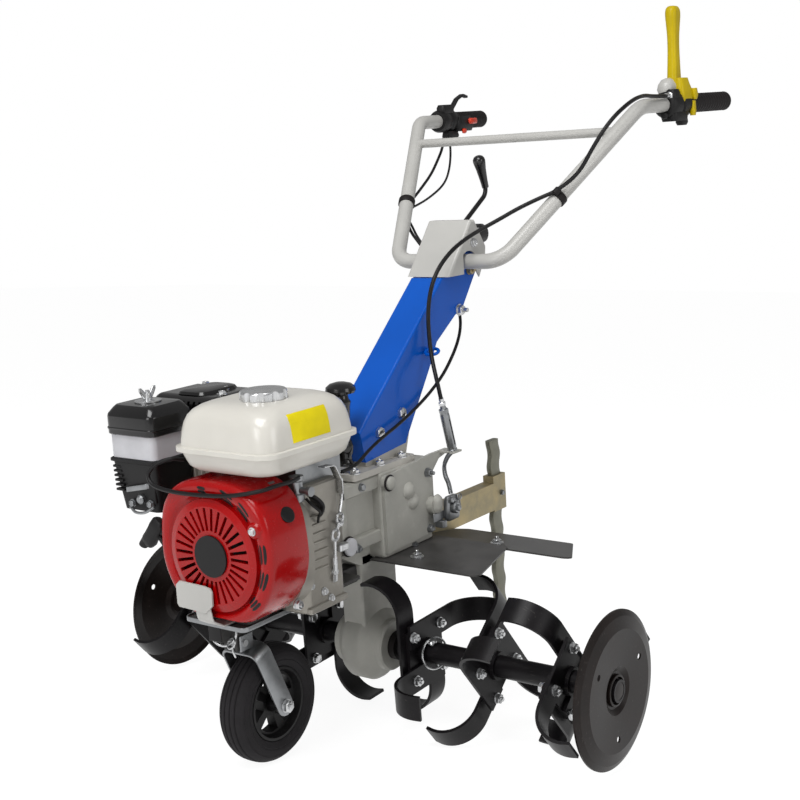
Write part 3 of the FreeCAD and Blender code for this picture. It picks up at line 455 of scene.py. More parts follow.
def lofted(levels, at=(0, 0, 0), axes=(X, Y, Z), per_corner=5):
    """Stack of rounded rectangles: width, depth, corner, height and, where given, two shifts.

    Each ring is centre + x u + y v + h w, and a point closes each end.
    """
    u, v, w = np.asarray(axes, float)
    rows = []
    for width, depth, corner, height, *shift in levels:
        ring = rounded_ring(width, depth, min(corner, 0.499 * width, 0.499 * depth),
                            per_corner) + (shift or (0, 0))
        rows.append(np.asarray(at, float) + ring[:, :1] * u + ring[:, 1:] * v + height * w)
    return capped(np.stack(rows), rows[0].mean(0), rows[-1].mean(0)), False, True


def block(x, y, z, corner=2.0, edge=0.8):
    """Softened box between two corners: a smaller ring at each end of a straight stack."""
    w, d, h = x[1] - x[0], y[1] - y[0], z[1] - z[0]
    levels = [(w - 2 * edge, d - 2 * edge, corner, 0), (w, d, corner, edge), (w, d, corner, h - edge),
              (w - 2 * edge, d - 2 * edge, corner, h)]
    return lofted(levels, ((x[0] + x[1]) / 2, (y[0] + y[1]) / 2, z[0]))


def ring_wire(centre, axis, radius, wire, arc=1.0, steps=40):
    """Round wire bent to a circle, or to a share of one: centre + R (cos u side + sin u top)."""
    side, top, _ = square_to(axis)
    turn = np.linspace(0, arc * 2 * np.pi, steps, endpoint=arc < 1)[:, None]
    route = np.asarray(centre, float) + radius * (np.cos(turn) * side + np.sin(turn) * top)
    return tube(route, wire, 8, closed=arc == 1)


def strip(route, across, widths, thick):
    """Flat bar along a route: q(t) + x across + y n(t), where (x, y) runs round a thin rounded rectangle."""
    q = np.asarray(route, float)
    across = np.asarray(across, float)
    ahead = np.gradient(q, axis=0)
    ahead /= np.linalg.norm(ahead, axis=1, keepdims=True)
    normal = np.cross(ahead, across)
    corner = np.arange(12) // 3
    turn = (np.arange(12) % 3) * np.pi / 4 + corner * np.pi / 2
    r = 0.3 * thick
    half = np.broadcast_to(np.asarray(widths, float) / 2, len(q))[:, None]
    x = np.array((1, -1, -1, 1))[corner] * np.maximum(half - r, 0) + np.minimum(half, r) * np.cos(turn)
    y = np.array((1, 1, -1, -1))[corner] * (thick / 2 - r) + r * np.sin(turn)
    grid = q[:, None] + x[..., None] * across + y[:, None] * normal[:, None]
    return capped(grid, q[0], q[-1]), False, True


def dome(at, axis, radius, rise, base=0.0):
    """Round button: a quarter ellipse on a straight foot."""
    u = np.linspace(0, np.pi / 2, 8)
    profile = [(0, 0), (radius, 0)] + list(zip(radius * np.cos(u), base + rise * np.sin(u)))
    return turned(profile, at, axis, 28)


def bent(points, radii, steps=7):
    """Straight runs with a tangent arc at each inner point."""
    p = np.asarray(points, float)
    route = [p[:1]]
    for before, here, after, radius in zip(p, p[1:], p[2:], radii):
        a, b = (before - here) / np.linalg.norm(before - here), (after - here) / np.linalg.norm(after - here)
        half = np.arccos(np.clip(a @ b, -1, 1)) / 2
        middle = here + (a + b) / np.linalg.norm(a + b) * radius / np.sin(half)
        start, end = here + a * radius / np.tan(half), here + b * radius / np.tan(half)
        t = np.linspace(0, 1, steps)[:, None]
        sweep = np.pi - 2 * half
        spoke = (start - middle) * np.sin((1 - t) * sweep) + (end - middle) * np.sin(t * sweep)
        route.append(middle + spoke / np.sin(sweep))
    return np.concatenate(route + [p[-1:]])


# ---------------------------------------------------------------- handlebar points and grips
BAR_END, BAR_TOP, BAR_LOW = (-812.0, 272.0, 838.0), (-544.0, 236.0, 833.0), (-274.0, 108.0, 591.0)


def on_side(point, side):
    """Point of the left half, or its twin across the middle plane."""
    return np.array(point) * (1, side, 1)


GRIP_RUN = {}
for side in (1, -1):
    run = on_side(BAR_TOP, side) - on_side(BAR_END, side)
    GRIP_RUN[side] = run / np.linalg.norm(run)


def on_grip(side, distance, out=(0, 0, 0)):
    """Point on a handlebar end, measured from its tip."""
    return on_side(BAR_END, side) + GRIP_RUN[side] * distance + np.asarray(out, float)


def grip(side):
    """Ribbed rubber sleeve: radius 16.4 + 0.9 cos of the rib count along the run, closed by a domed end."""
    s = np.linspace(0, 1, 140)
    ribs = 16.4 + 0.9 * np.cos(s * 2 * np.pi * 16)
    ribs = np.where(s > 0.93, 18.0, ribs)
    profile = [(0, -8), (10, -7.6), (15, -5.5), (17.4, -2)]
    profile += list(zip(ribs, 132 * s)) + [(17.5, 133), (13.2, 133)]
    return turned(profile, on_grip(side, 0), GRIP_RUN[side], 36)


for side, word in ((1, "left"), (-1, "right")):
    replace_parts(make("grip_%s_sleeve" % word, [grip(side)], "grip", "handlebar_body"), "grip_" + word)

# ---------------------------------------------------------------- tyre and wheel bracket
WHEEL = (256.0, 0.0, -10.0)


def tyre():
    """Ring about the wheel's axle: crowned tread with four grooves, bulged walls, a bead and a seat."""
    w = np.linspace(-1, 1, 81)
    crown = 89.2 - 6.0 * np.abs(w) ** 3.0
    grooves = np.exp(-((np.abs(w) - 0.24) / 0.05) ** 2) + np.exp(-((np.abs(w) - 0.66) / 0.05) ** 2)
    tread = np.stack((crown - 2.4 * grooves, 19.5 * w), -1)
    right = [(81, 21.9), (78.2, 23.6), (77.6, 23.2), (77, 24.0), (72, 24.9), (68, 24.7), (66.8, 23.9),
             (65.6, 24.6), (62, 23.6), (59.5, 22.0), (57.6, 21.6), (56.2, 20.4), (55.3, 18.2)]
    left = [(r, -h) for r, h in right[::-1]]
    profile = np.concatenate((left, tread, right, [(55.2, 10)], [(55.2, -10)]))
    return hoop(profile, WHEEL, Y, 112)


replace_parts(make("front_tyre", [tyre()], "tyre", "front_wheel"), "wheel_tyre")

LEG = np.array((0.3839, 0.0, 0.9234))
FORK_ACROSS = np.array((0.9234, 0.0, -0.3839))
FORK_LENGTH = 109.4


def fork():
    """Strap over the wheel: up one side, round two bends and down the other, both feet rounded."""
    line = bent([(33, -15.9), (33, FORK_LENGTH - 2), (-33, FORK_LENGTH - 2), (-33, -15.9)], [13, 13], 9)
    foot = np.linspace(-15.9, 8, 9)
    line = np.concatenate((np.stack((np.full(9, 33.0), foot), -1), line[1:-1],
                           np.stack((np.full(9, -33.0), foot[::-1]), -1)))
    route = np.asarray(WHEEL) + line[:, :1] * np.array(Y) + line[:, 1:] * LEG
    reach = np.clip((line[:, 1] + 16) / 16, 0.02, 1)
    return strip(route, FORK_ACROSS, 32 * np.sqrt(1 - (1 - reach) ** 2), 4)


hinge = [
    fork(),
    turned([(0, 0), (7.5, 0), (8.5, 1), (8.5, 14.4), (7.5, 15.4), (0, 15.4)], (312, -7.7, 103), Y, 28),
    block((291, 312), (-7.7, 7.7), (90.5, 104), 2, 1),
    block((294, 321), (13.7, 17), (91, 115), 4, 0.6), block((294, 321), (-17, -13.7), (91, 115), 4, 0.6),
]
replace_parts(make("wheel_fork_strap", hinge, "zinc", "wheel_arm", bevel=0.4), "wheel_fork")
wheel_nuts = [bolt((256, side * 35.2, -10), (0, side, 0), 17, 7, 10, 3) for side in (1, -1)]
make("wheel_bolt_nuts", wheel_nuts, "bright", "wheel_arm")
make("wheel_lock_ring", [
    ring_wire((338, 2, 126), (0.93, 0.3, 0.2), 20, 2.0),
    ring_wire((340, 18, 112), (0.8, -0.2, 0.5), 8, 1.3),
    tube(smooth_route([(341, 20, 106), (342, 23, 99), (340, 24, 92)], 16), 1.4, 8),
], "bright", "machine")
make("tube_end_plug", [block((352, 353.4), (-12, 12), (116.5, 139.5), 3, 0.5)], "matte_black")
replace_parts(make("engine_bed_plate", [block((196, 359), (-50.6, 64), (141.2, 145.8), 8, 0.5),
                                      block((93, 200), (-50, 62), (141.2, 145.8), 6, 0.5)], "sheet"),
            "engine_plate")
# Painted highlight: a bright zinc strip along the bed plate's front and side edges stands in for the light that
# the plate's cut edge catches.
painted_highlight_edge = [(186, 64.6, 144.5), (359.6, 64.6, 144.5), (359.6, -50.8, 144.5), (300, -50.8, 144.5)]
make("engine_plate_painted_highlight", [strip(bent(painted_highlight_edge, [9, 9]), Z, 7, 2.0)], "zinc")

# ---------------------------------------------------------------- blade bolts and rotor pins
FLANGES = [(103.611, -91.90, -1), (233.300, -38.66, -1), (362.989, -129.84, 1)]


def blade_bolts(side):
    """Heads outside and nuts inside each flange: its corner (36, 36) turned by the phase and a quarter."""
    made = []
    for y, phase, hand in FLANGES:
        for k in range(4):
            a = math.radians(phase + 90 * k)
            x, z = 36 * math.cos(a) - hand * 36 * math.sin(a), 36 * math.sin(a) + hand * 36 * math.cos(a)
            made += [bolt((x, side * (y + 8.1), z), (0, side, 0), 14, 6.5, 8.5, 4),
                     bolt((x, side * (y - 8.1), z), (0, -side, 0), 14, 6, 8.5)]
    return made


def rotor_pins(side):
    """Clevis pin with a domed head through shaft and axle, and the sprung ring that holds it."""
    pin = turned([(0, -25), (3.6, -25), (4, -24), (4, 21), (7.5, 21), (7.5, 23), (5, 26), (0, 27)],
                 (0, side * 126, 0), (0.34, 0, 0.94), 20)
    clip = smooth_route([(22, side * 214, 14), (30, side * 206, 20), (34, side * 200, 14),
                         (28, side * 204, 6), (20, side * 212, 10)], 30)
    return [pin, ring_wire((2, side * 126, 0), (0.25, side * 0.96, 0.1), 25, 1.7), tube(clip, 1.5, 8)]


for side, word in ((1, "left"), (-1, "right")):
    make("blade_bolts_" + word, blade_bolts(side), "bright", "rotor")
    make("rotor_pins_" + word, rotor_pins(side), "bright", "rotor")

# ---------------------------------------------------------------- column, bumper, spur, castings and tubes
make("column_bolts", [bolt((x, side * 32.0, z), (0, side, 0), 16, 6.5, 0) for side in (1, -1)
                      for x, z in ((-72, 367), (-11, 347))], "bright")
make("foot_bolts", [bolt((x, y, 298.0), Z, 12, 5.5, 9, 3) for x in (66, 2, -56) for y in (-40, 40)], "bright")
make("cover_screws", [bolt((-288, side * 44, 622), (0, side, 0), 12, 4.5, 8) for side in (1, -1)], "bright")
make("column_rear_studs", [bolt((-253, side * 32, 511), (0, side, 0), 15, 8, 10, 9) for side in (1, -1)],
     "bright")
make("cover_lock_knob", [
    turned([(0, 0), (9, 0), (10, 3), (15, 6), (17, 10), (17, 20), (14, 25), (0, 26)], (-326, 18, 634), Y, 40),
    turned([(0, 0), (6, 0), (6, 24), (0, 24)], (-326, -4, 634), Y, 20),
], "gloss_black")
make("pivot_stud", [bolt((-288, 33, 575), Y, 13, 7, 8, 4)], "yellow_zinc")
bumper_edge = [(-33, 178), (-30, 174), (4, 173), (22, 172), (35, 184), (36, 204), (32, 209), (22, 211),
               (-26, 212), (-33, 206)]
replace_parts(make("bumper_plate", [
    slab([(384.4, y, z) for y, z in bumper_edge], 3.4, X),
    strip(bent([(385, 14, 180), (385, 18, 160), (366, 20, 149), (330, 20, 149)], [8, 8]), Y, 30, 3),
], "light_grey", bevel=0.6), "bumper")
spur_z = np.linspace(-72, 255, 110)
SPUR_X, WAVE_HEIGHT, WAVE_LENGTH = -386, 2.4, 48
spur_x = SPUR_X + WAVE_HEIGHT * np.sin(2 * np.pi * spur_z / WAVE_LENGTH)
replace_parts(make("spur_bar", [strip(np.stack((spur_x, 0 * spur_z, spur_z), -1), X, 30, 12)], "spur", "spur",
                 bevel=0.5), "depth_spur")
make("cable_eye", [ring_wire((-151, 44, 455), (0.3, 0.1, 0.95), 11, 2.8),
                   block((-153, -149), (32, 37), (452, 458), 1, 0.5)], "blue")

BOSS_HALF, DRUM_HALF, DRUM = 48, 22, 62.0
BOX_X, BOX_HALF, BOX_Z = (-115, 18), 52, (150, 288)
NECK_FRONT, NECK_HALF, NECK_Z = 112, 46, (178, 286)
drum = [(0, BOSS_HALF), (39, BOSS_HALF), (42, BOSS_HALF - 3), (42, DRUM_HALF + 14), (48, DRUM_HALF + 7),
        (59, DRUM_HALF - 3), (DRUM, DRUM_HALF - 8)]
drum = [(r, -h) for r, h in drum] + drum[::-1]
core = NECK_HALF - 12
shoulder = [(44, 142), (NECK_FRONT, NECK_Z[0]), (NECK_FRONT, NECK_Z[0] + 8), (BOX_X[1] - 8, NECK_Z[0] + 8),
            (BOX_X[1] - 8, 142)]
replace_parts(make("gear_casting", [
    turned(drum, (0, 0, 0), Y, 96),
    block((-48, 44), (-22, 22), (28, BOX_Z[0] + 6), 5, 1.5),
    block(BOX_X, (-BOX_HALF, BOX_HALF), BOX_Z, 6, 2),
    block((BOX_X[1] - 10, NECK_FRONT), (-core, core), NECK_Z, 3, 1),
    block((BOX_X[1] - 10, NECK_FRONT), (-NECK_HALF, NECK_HALF), (NECK_Z[1] - 22, NECK_Z[1]), 4, 2),
    block((BOX_X[1] - 10, NECK_FRONT), (-NECK_HALF, NECK_HALF), (NECK_Z[0], NECK_Z[0] + 20), 4, 2),
    block((NECK_FRONT - 14, NECK_FRONT), (-NECK_HALF, NECK_HALF), NECK_Z, 4, 2),
    slab([(x, -22, z) for x, z in shoulder], 44, Y),
], "cast"), "gear_case")

corners = [on_side(point, 1) for point in (BAR_END, BAR_TOP, BAR_LOW)]
bar_route = bent(corners + [on_side(point, -1) for point in (BAR_LOW, BAR_TOP, BAR_END)],
                 [52, 46, 46, 52], 12)
CROSS_SHARE = 0.833
cross_end = corners[2] + CROSS_SHARE * (corners[1] - corners[2])
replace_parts(make("handlebar_tubes",
                 [tube(bar_route, 13, 32), tube([cross_end, cross_end * (1, -1, 1)], 8, 24)], "light_grey",
                 "handlebar_body"), "handlebar")

make("case_plugs", [dome((8, 62, 272), Y, 11, 5, 3),
                    lofted([(20, 30, 9, 0), (22, 34, 11, 3), (18, 28, 9, 8), (9, 15, 4, 11)],
                           (-107, 66, 210), (X, Z, Y))], "cast")
make("oil_plug", [dome((101, 46, 192), Y, 14, 3, 7)], "milky")
hub_ring = [(19.5, 0), (24, 0), (23.5, 4), (20.5, 4.6)]
make("disc_hub_caps", [dome((0, side * 447.5, 0), (0, side, 0), 16.6, 1.6, 1.0) for side in (1, -1)]
     + [hoop(hub_ring, (0, side * 442.2, 0), (0, side, 0), 48) for side in (1, -1)], "disc", "rotor")
GRIP_AXIS = np.array((0.0, -0.6306, -0.7761))
make("starter_grip", [lofted([(10, 14, 4, -6), (15, 22, 6, -2), (17, 24, 7, 8), (16, 22, 7, 24),
                              (17, 24, 7, 34), (14, 20, 6, 41), (8, 12, 4, 44)],
                             (370, -75, 285), (X, (0, 0.7761, -0.6306), GRIP_AXIS))], "matte_black")
make("case_plug_seals", [ring_wire((8, 62, 272), Y, 11.5, 2.0),
                         ring_wire((101, 47.5, 192), Y, 14.0, 2.2)], "grip")
make("case_bolts", [
    bolt((82, 46, 184), Y, 12, 6, 8, 4), bolt((-100, 57, 264), Y, 12, 7, 8, 6),
    bolt((-98, 57, 170), Y, 11, 5, 7), bolt((-60, 52, 150.5), Z, 10, 4, 7),
    bolt((60, 46, 276), Y, 10, 4.5, 7), bolt((104, 20, 286), Z, 11, 5, 8),
    bolt((104, -20, 286), Z, 11, 5, 8), bolt((44, 0, 120), X, 11, 5, 0),
    bolt((-52, 0, 120), (-1, 0, 0), 11, 5, 0),
], "zinc")
make("fender_bolts", [bolt((x, side * y, z), Z, 13, 5, 11, 5) for side in (1, -1)
                      for x, y, z in ((-11, 93, 150.2), (-139, 161, 146.6))], "bright")

# ---------------------------------------------------------------- clutch adjuster, spring and lever block
ARM = np.array((-149.0, 76.0, 292.0))
LEAN = np.array((22.0, 0.0, 80.0)) / math.hypot(22, 80)
adjuster = turned([(0, 0.4), (8.0, 0.4), (8.0, 3), (7.0, 4), (7.4, 6), (7.9, 8), (7.9, 66), (7.2, 68),
                   (6.9, 70), (6.9, 76), (5, 77), (5, 80), (4.2, 82.6), (0, 82.9)], ARM, LEAN, 36, (8, 9))
# Painted shade: a dark fill on the sleeve stands in for the shaded opening of its cable slot.
adjuster_painted_slot_shade = lofted([(1.6, 0.4, 1, 0), (2.4, 1.2, 1, 0.4), (2.4, 1.2, 1, 45.6), (1.6, 0.4, 1, 46)],
                       ARM + LEAN * 12 + (0, 7.8, 0), ((LEAN[2], 0, -LEAN[0]), Y, LEAN))
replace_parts(make("adjuster_sleeve", [adjuster], "zinc"), "cable_adjuster")
make("adjuster_painted_slot_shade", [adjuster_painted_slot_shade], "matte_black")

spring_route = smooth_route([(-146, 76, 290), (-133, 76, 284), (-123, 76, 272), (-124, 76, 256),
                             (-132, 76, 240), (-137, 76, 222)], 260)
spring_wave = 3.3 + 0.7 * np.cos(np.arange(260) * 2 * np.pi / 6)
lever_block = [
    tube(spring_route, spring_wave, 12),
    lofted([(30, 9, 3, 0), (34, 12, 4, 4), (36, 13, 5, 20), (33, 12, 4, 34), (26, 9, 3, 40)],
           (-137, 76, 178)),
    turned([(0, 0), (9, 0), (10, 1), (10, 7), (8, 9), (0, 9)], (-134, 82, 200), Y, 30),
    bolt((-134, 91, 200), Y, 10, 4, 0), bolt((-126, 82, 214), Y, 9, 4, 6),
    block((-140, -93), (68, 71.5), (182, 196), 3, 0.6), block((-118, -106), (62, 80), (170, 182), 3, 1),
    ring_wire((-150, 84, 214), (0.2, 1, 0), 5, 0.9),
    tube([(-150, 84, 219), (-149, 85, 208), (-150, 85, 200)], 1.0, 8),
]
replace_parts(make("clutch_lever_block", lever_block, "zinc"), "clutch_link")

# ---------------------------------------------------------------- engine fittings
TANK_Z = np.array((368, 370, 376, 390, 396, 397, 403, 404, 412, 425, 436, 445, 452, 457, 460, 461.5, 462.0))
TANK_IN = np.array((22, 17, 11, 6.5, 5, 0, 0, 4.5, 5.2, 6.8, 9, 12.5, 18, 25, 33, 42, 56.0))
tank_levels = [(204 - 2 * i, 184 - 2 * i, 27 + 0.2 * i, z) for z, i in zip(TANK_Z, TANK_IN)]
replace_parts(make("tank_shell", [lofted(tank_levels, (282, 64, 0), per_corner=9)], "tank", sharp=50),
            "fuel_tank")
label_z = np.linspace(410, 448, 14)
label_route = np.stack((np.full(14, 287.0), 156.3 - np.interp(label_z, TANK_Z, TANK_IN), label_z), -1)
make("tank_label", [strip(label_route, X, 78, 0.5)], "label")
NUT = (301, -149, 443.4)
wing = [turned([(0, 0), (19, 0), (20, 0.8), (20, 2.2), (16, 3.2), (8, 3.6), (0, 3.6)], NUT, Z, 48),
        turned([(0, 3), (6, 3), (6.5, 5), (5.2, 13), (3.2, 14), (3.2, 17), (0, 17)], NUT, Z, 24)]
for side in (1, -1):
    wing.append(lofted([(9, 4, 2, 0), (10, 3.6, 1.8, 6, side * 4, 0), (9, 3.2, 1.6, 12, side * 8, 0),
                        (5, 2.6, 1.3, 16, side * 10, 0)], (301 + side * 4, -149, 449)))
make("cleaner_wing_nut", wing, "bright")
lid_levels = [(84, 95, 12, 0), (88, 99, 13, 1.5), (88, 99, 13, 27), (86, 97, 13, 31), (73, 84, 12, 40),
              (66, 77, 10, 43), (40, 50, 8, 43.6)]
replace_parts(make("cleaner_lid_shell", [lofted(lid_levels, (301.5, -149, 400))], "gloss_black"),
            "air_cleaner_lid")
make("cleaner_seams", [
    lofted([(88.6, 99.6, 12, 0), (89.4, 100.4, 12, 1), (89.4, 100.4, 12, 2.4), (88.6, 99.6, 12, 3.4)],
           (301.5, -149, 408)),
], "gloss_black")
base_ribs = [block((334, 342), (-193 + 0.5 * k, -176 + 0.5 * k), (350 - 7 * k, 353.5 - 7 * k), 1, 0.5)
             for k in range(6)]
base_ribs += [lofted([(84, 92, 10, 0), (90, 98, 10, 1.5), (90, 98, 10, 5), (84, 92, 10, 7)], (301, -149, 359)),
              block((333, 338), (-150, -112), (300, 352), 4, 1.2)]
make("cleaner_base_ribs", base_ribs, "matte_black")
make("choke_and_fuel_levers", [
    strip(bent([(341, -168, 318), (341, -128, 326), (330, -118, 328)], [6]), Z, 8, 2.4),
    turned([(0, 0), (7, 0), (7, 5), (4, 8), (0, 8)], (338, -140, 306), X, 24),
    bolt((338, -122, 300), X, 9, 4, 6), bolt((338, -160, 298), X, 9, 4, 6),
    tube(smooth_route([(340, -165, 292), (344, -150, 286), (344, -130, 288), (338, -118, 296)], 20), 2.2, 10),
], "zinc")


SHROUD_F = np.array((0.0, 0.28, 0.44, 0.58, 0.73, 0.84, 0.93, 0.98, 1.0))
SHROUD_X = np.array((369.0, 371.5, 376.0, 377.6, 377.4, 376.0, 372.6, 367.0, 352.0))
HUB, SHROUD_BACK, COVER_WALL, COVER_FOOT = 72.0, 298.0, -64, 165


def rim(turn):
    """Outer radius by angle: 105 over the superellipse norm, whose power grows from 2 to 2.8 upwards."""
    power = 2 + 0.8 * np.clip(2 * np.sin(turn), 0, 1)
    c, s = np.abs(np.cos(turn)), np.abs(np.sin(turn))
    return 105 * (c ** power + s ** power) ** (-1 / power)


SHAFT_Y, SHAFT_Z = 35.0, 254.0


def from_shaft(radius, turn, x=0.0):
    """Point round the crankshaft, or (y, z) arrays of them."""
    return x, SHAFT_Y + radius * np.cos(turn), SHAFT_Z + radius * np.sin(turn)


def cover_x(y, z):
    """Front of the cover: a rolled ring that falls away from the recoil cover to the rim."""
    y, z = y - SHAFT_Y, z - SHAFT_Z
    return np.interp((np.hypot(y, z) - HUB) / (rim(np.arctan2(z, y)) - HUB), SHROUD_F, SHROUD_X)


def shroud():
    """Ring about the crankshaft: hub + f (rim(u) - hub) at x(f), with a flat foot and a straight wall."""
    profile = smooth_route(np.stack((SHROUD_F, SHROUD_X), -1), 40)
    profile = np.concatenate((profile, [(1.0, SHROUD_BACK + 2), (0.985, SHROUD_BACK), (0, SHROUD_BACK)]))
    turn = np.arange(160) * 2 * np.pi / 160
    r = HUB + profile[:, :1] * (rim(turn) - HUB)
    _, y, z = from_shaft(r, turn)
    x = np.broadcast_to(profile[:, 1:], y.shape)
    return np.stack((x, np.maximum(y, COVER_WALL), np.maximum(z, COVER_FOOT)), -1), True, True


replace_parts(make("fan_cover_shroud", [shroud()], "red"), "fan_cover")
make("fan_back_plate", [lofted([(178, 168, 60, 0), (184, 174, 62, 2), (184, 174, 62, 27)], (274, 38, 247),
                               (Y, Z, X), 9)], "engine")
make("fan_cover_foot", [block((300, 346), (-45, 62), (145.8, 168), 6, 2)], "sheet")


def painted_slot_shade(radius, angle, length, lean=0.0):
    """Painted shade of one vent slot: a dark flattened tube with round ends on the shroud, on the arc of one
    radius, stands in for the shaded opening.
    """
    u = np.linspace(-1, 1, 14)
    turn = math.radians(angle) + u * length / 2 / radius
    r = radius + lean * u
    _, y, z = from_shaft(r, turn)
    v = np.arange(10) * 2 * np.pi / 10
    half = 2.5 * np.sqrt(1 - np.abs(u) ** 4 + 0.02)
    y = y[:, None] + half[:, None] * np.cos(v) * np.cos(turn)[:, None]
    z = z[:, None] + half[:, None] * np.cos(v) * np.sin(turn)[:, None]
    grid = np.stack((cover_x(y, z) + 0.9 * np.sin(v) - 0.1, y, z), -1)
    return capped(grid, grid[0].mean(0), grid[-1].mean(0)), False, True


# Painted shade: the dark fills stand in for the shaded openings of the cover's vent slots.
groups = [(69, (84, 90, 96), 24), (48, (85, 91, 97.5), 24), (8, (84.5, 91, 97.5), 27),
          (-15, (85, 91, 97), 27), (-40, (85, 91, 96.5), 19), (97, (84, 90, 95), 15), (250, (84, 89.5), 16)]
make("fan_cover_vent_shade", [painted_slot_shade(r, angle, length, 1.5) for angle, radii, length in groups for r in radii],
     "matte_black")
LOBE = from_shaft(93, math.radians(29))[1:]
recoil_lobe = [(0, 0), (13, 0), (11.5, 3), (9.5, 5.4), (7, 6), (0, 6)]
make("recoil_lobes", [turned(recoil_lobe, (375, *LOBE), X, 32)], "red")
cover_screws = [bolt((380.6, *LOBE), X, 8.5, 3.6, 6)]
flat_side = [(213, 194, 9), (266, 188, 8.5), (224, 158, 8), (238, 172, 8.5), (194, 262, 8.5)]
make("engine_bolts", cover_screws + [bolt((x, 109.3, z), Y, a, 4, 6) for x, z, a in flat_side]
     + [bolt((300, 112, 172), Y, 12, 6, 8, 3), bolt((305, 108, 333), (0, 0.7, 0.72), 9, 4, 6.5),
        bolt((170, -120, 440), Z, 10, 4, 8), bolt((205, -92, 440), Z, 10, 4, 8),
        bolt((150, -180, 440), Z, 10, 4, 8)], "bright")
side_out = np.array((0.0, math.cos(math.radians(31)), math.sin(math.radians(31))))
make("fan_cover_plug", [dome(np.array((328, 35, 254)) + (rim(math.radians(31)) - 1.5) * side_out, side_out,
                             13, 1.6, 1.4)], "matte_black")
PLATE_TURN = 0.98
plate_out = np.array((0, math.cos(PLATE_TURN), math.sin(PLATE_TURN)))
plate_up = np.array((0, -math.sin(PLATE_TURN), math.cos(PLATE_TURN)))
plate_ring = rounded_ring(12, 5, 0.8, 3)
side_plate = (np.array((318, 35, 254)) + (rim(PLATE_TURN) - 0.2) * plate_out
              + plate_ring[:, :1] * np.array(X) + plate_ring[:, 1:] * plate_up)
make("fan_cover_side_plate", [slab(side_plate, 0.4, plate_out)], "zinc")
make("block_ribs", [block((224, 272), (108, 111.6), (206 + 13 * k, 209 + 13 * k), 1, 0.8) for k in range(7)]
     + [block((188, 272), (100, 113), (146.3, 156), 3, 1.5)], "engine")
crankcase = [
    block((186, 275), (-54, 109), (146.2, 330), 12, 3),
    lofted([(90, 106, 10, 0), (94, 110, 12, 3), (98, 112, 14, 34), (128, 134, 18, 52), (146, 156, 20, 62),
            (146, 156, 20, 78)], (112, 0, 232), (Y, Z, X)),
    block((126, 262), (-148, 36), (230, 340), 8, 2),
] + [block((120, 268), (-144 + 14 * k, -140.4 + 14 * k), (224, 344), 8, 0.8) for k in range(7)]
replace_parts(make("crankcase", crankcase, "engine"), "engine_block")
make("governor_rods", [
    tube(smooth_route([(186, 113, 326), (190, 114, 300), (199, 116, 280)], 20), 2.2, 10),
    ring_wire((200, 116, 271), Y, 7, 2.4), ring_wire((212, 116, 249), Y, 7.5, 2.4),
    tube([(204, 116, 265), (208, 116, 257)], 3.2, 10),
    tube([(213, 115, 241), (214, 114, 218), (214, 113, 196)], 2.6, 10),
    strip(bent([(213, 113, 216), (214, 114, 206), (215, 112.5, 180)], [6]), X, 9, 2.2),
    strip(bent([(227, 112, 352), (204, 112, 350), (190, 112, 324), (190, 112, 305)], [10, 8]), Y, 12, 2.2),
    block((186, 206), (108, 120), (222, 232), 3, 1),
], "bright")
make("fuel_tap", [
    turned([(0, 0), (9, 0), (10, 2), (10, 10), (8.5, 12), (8.5, 28), (10, 30), (10, 36), (0, 36)],
           (282, 112, 316), Z, 32),
    turned([(0, 0), (5, 0), (5, 10), (7, 12), (7, 18), (0, 19)], (282, 120, 332), Y, 20),
], "zinc")
boot = [lofted([(8, 8, 4, 0), (15, 15, 7, 5), (17, 17, 8, 14), (13, 13, 6, 24), (8, 8, 4, 30)],
               (262, 121, 318), ((0.8, 0, 0.6), Y, (-0.6, 0, -0.8))),
        tube(smooth_route([(268, 118, 322), (262, 128, 318), (250, 130, 304), (246, 122, 290),
                           (240, 112, 284)], 30), 2.4, 10),
        tube(smooth_route([(272, 118, 318), (268, 126, 308), (256, 128, 296), (250, 120, 286),
                           (243, 112, 276)], 30), 2.0, 10)]
loop = smooth_route([(340, -44, 374), (358, -52, 378), (370, -68, 372), (378, -78, 358), (381, -68, 345),
                     (381, -36, 339), (381, 20, 339), (381, 78, 344), (368, 120, 351), (345, 130, 354),
                     (312, 128, 352), (282, 118, 350)], 90)
make("engine_wires", boot + [tube(loop, 3.0, 12)], "sheath")
make("guard_deflector", [
    lofted([(84, 60, 14, 0), (80, 56, 14, 4), (70, 46, 12, 6)], (184, -142, 440)),
    block((150, 214), (-75, -72.5), (380, 432), 6, 1),
], "gloss_black")
make("starter_bracket", [strip(bent([(370, -58, 250), (371, -68, 256), (370, -78, 266)], [5]), Z, 9, 5)],
     "matte_black")
selector = turned([(0, 0), (13, 0), (14, 3), (11, 8), (11, 14), (13.5, 20), (14, 30), (12, 38), (10, 42),
                   (10, 48), (13, 52), (13, 60), (10, 64), (10, 70), (12, 76), (13, 92), (15, 100),
                   (12, 104), (11, 110), (14, 112), (22, 114), (24, 118), (23, 123), (17, 128), (8, 130.5),
                   (0, 131)], (62, 20, 309.5), Z, 44)
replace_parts(make("selector_boot", [selector], "gloss_black"), "selector_knob")
make("selector_ring", [hoop([(10.4, 0), (11.6, 1), (11.6, 3), (10.4, 4)], (62, 20, 354), Z, 36)], "bright")

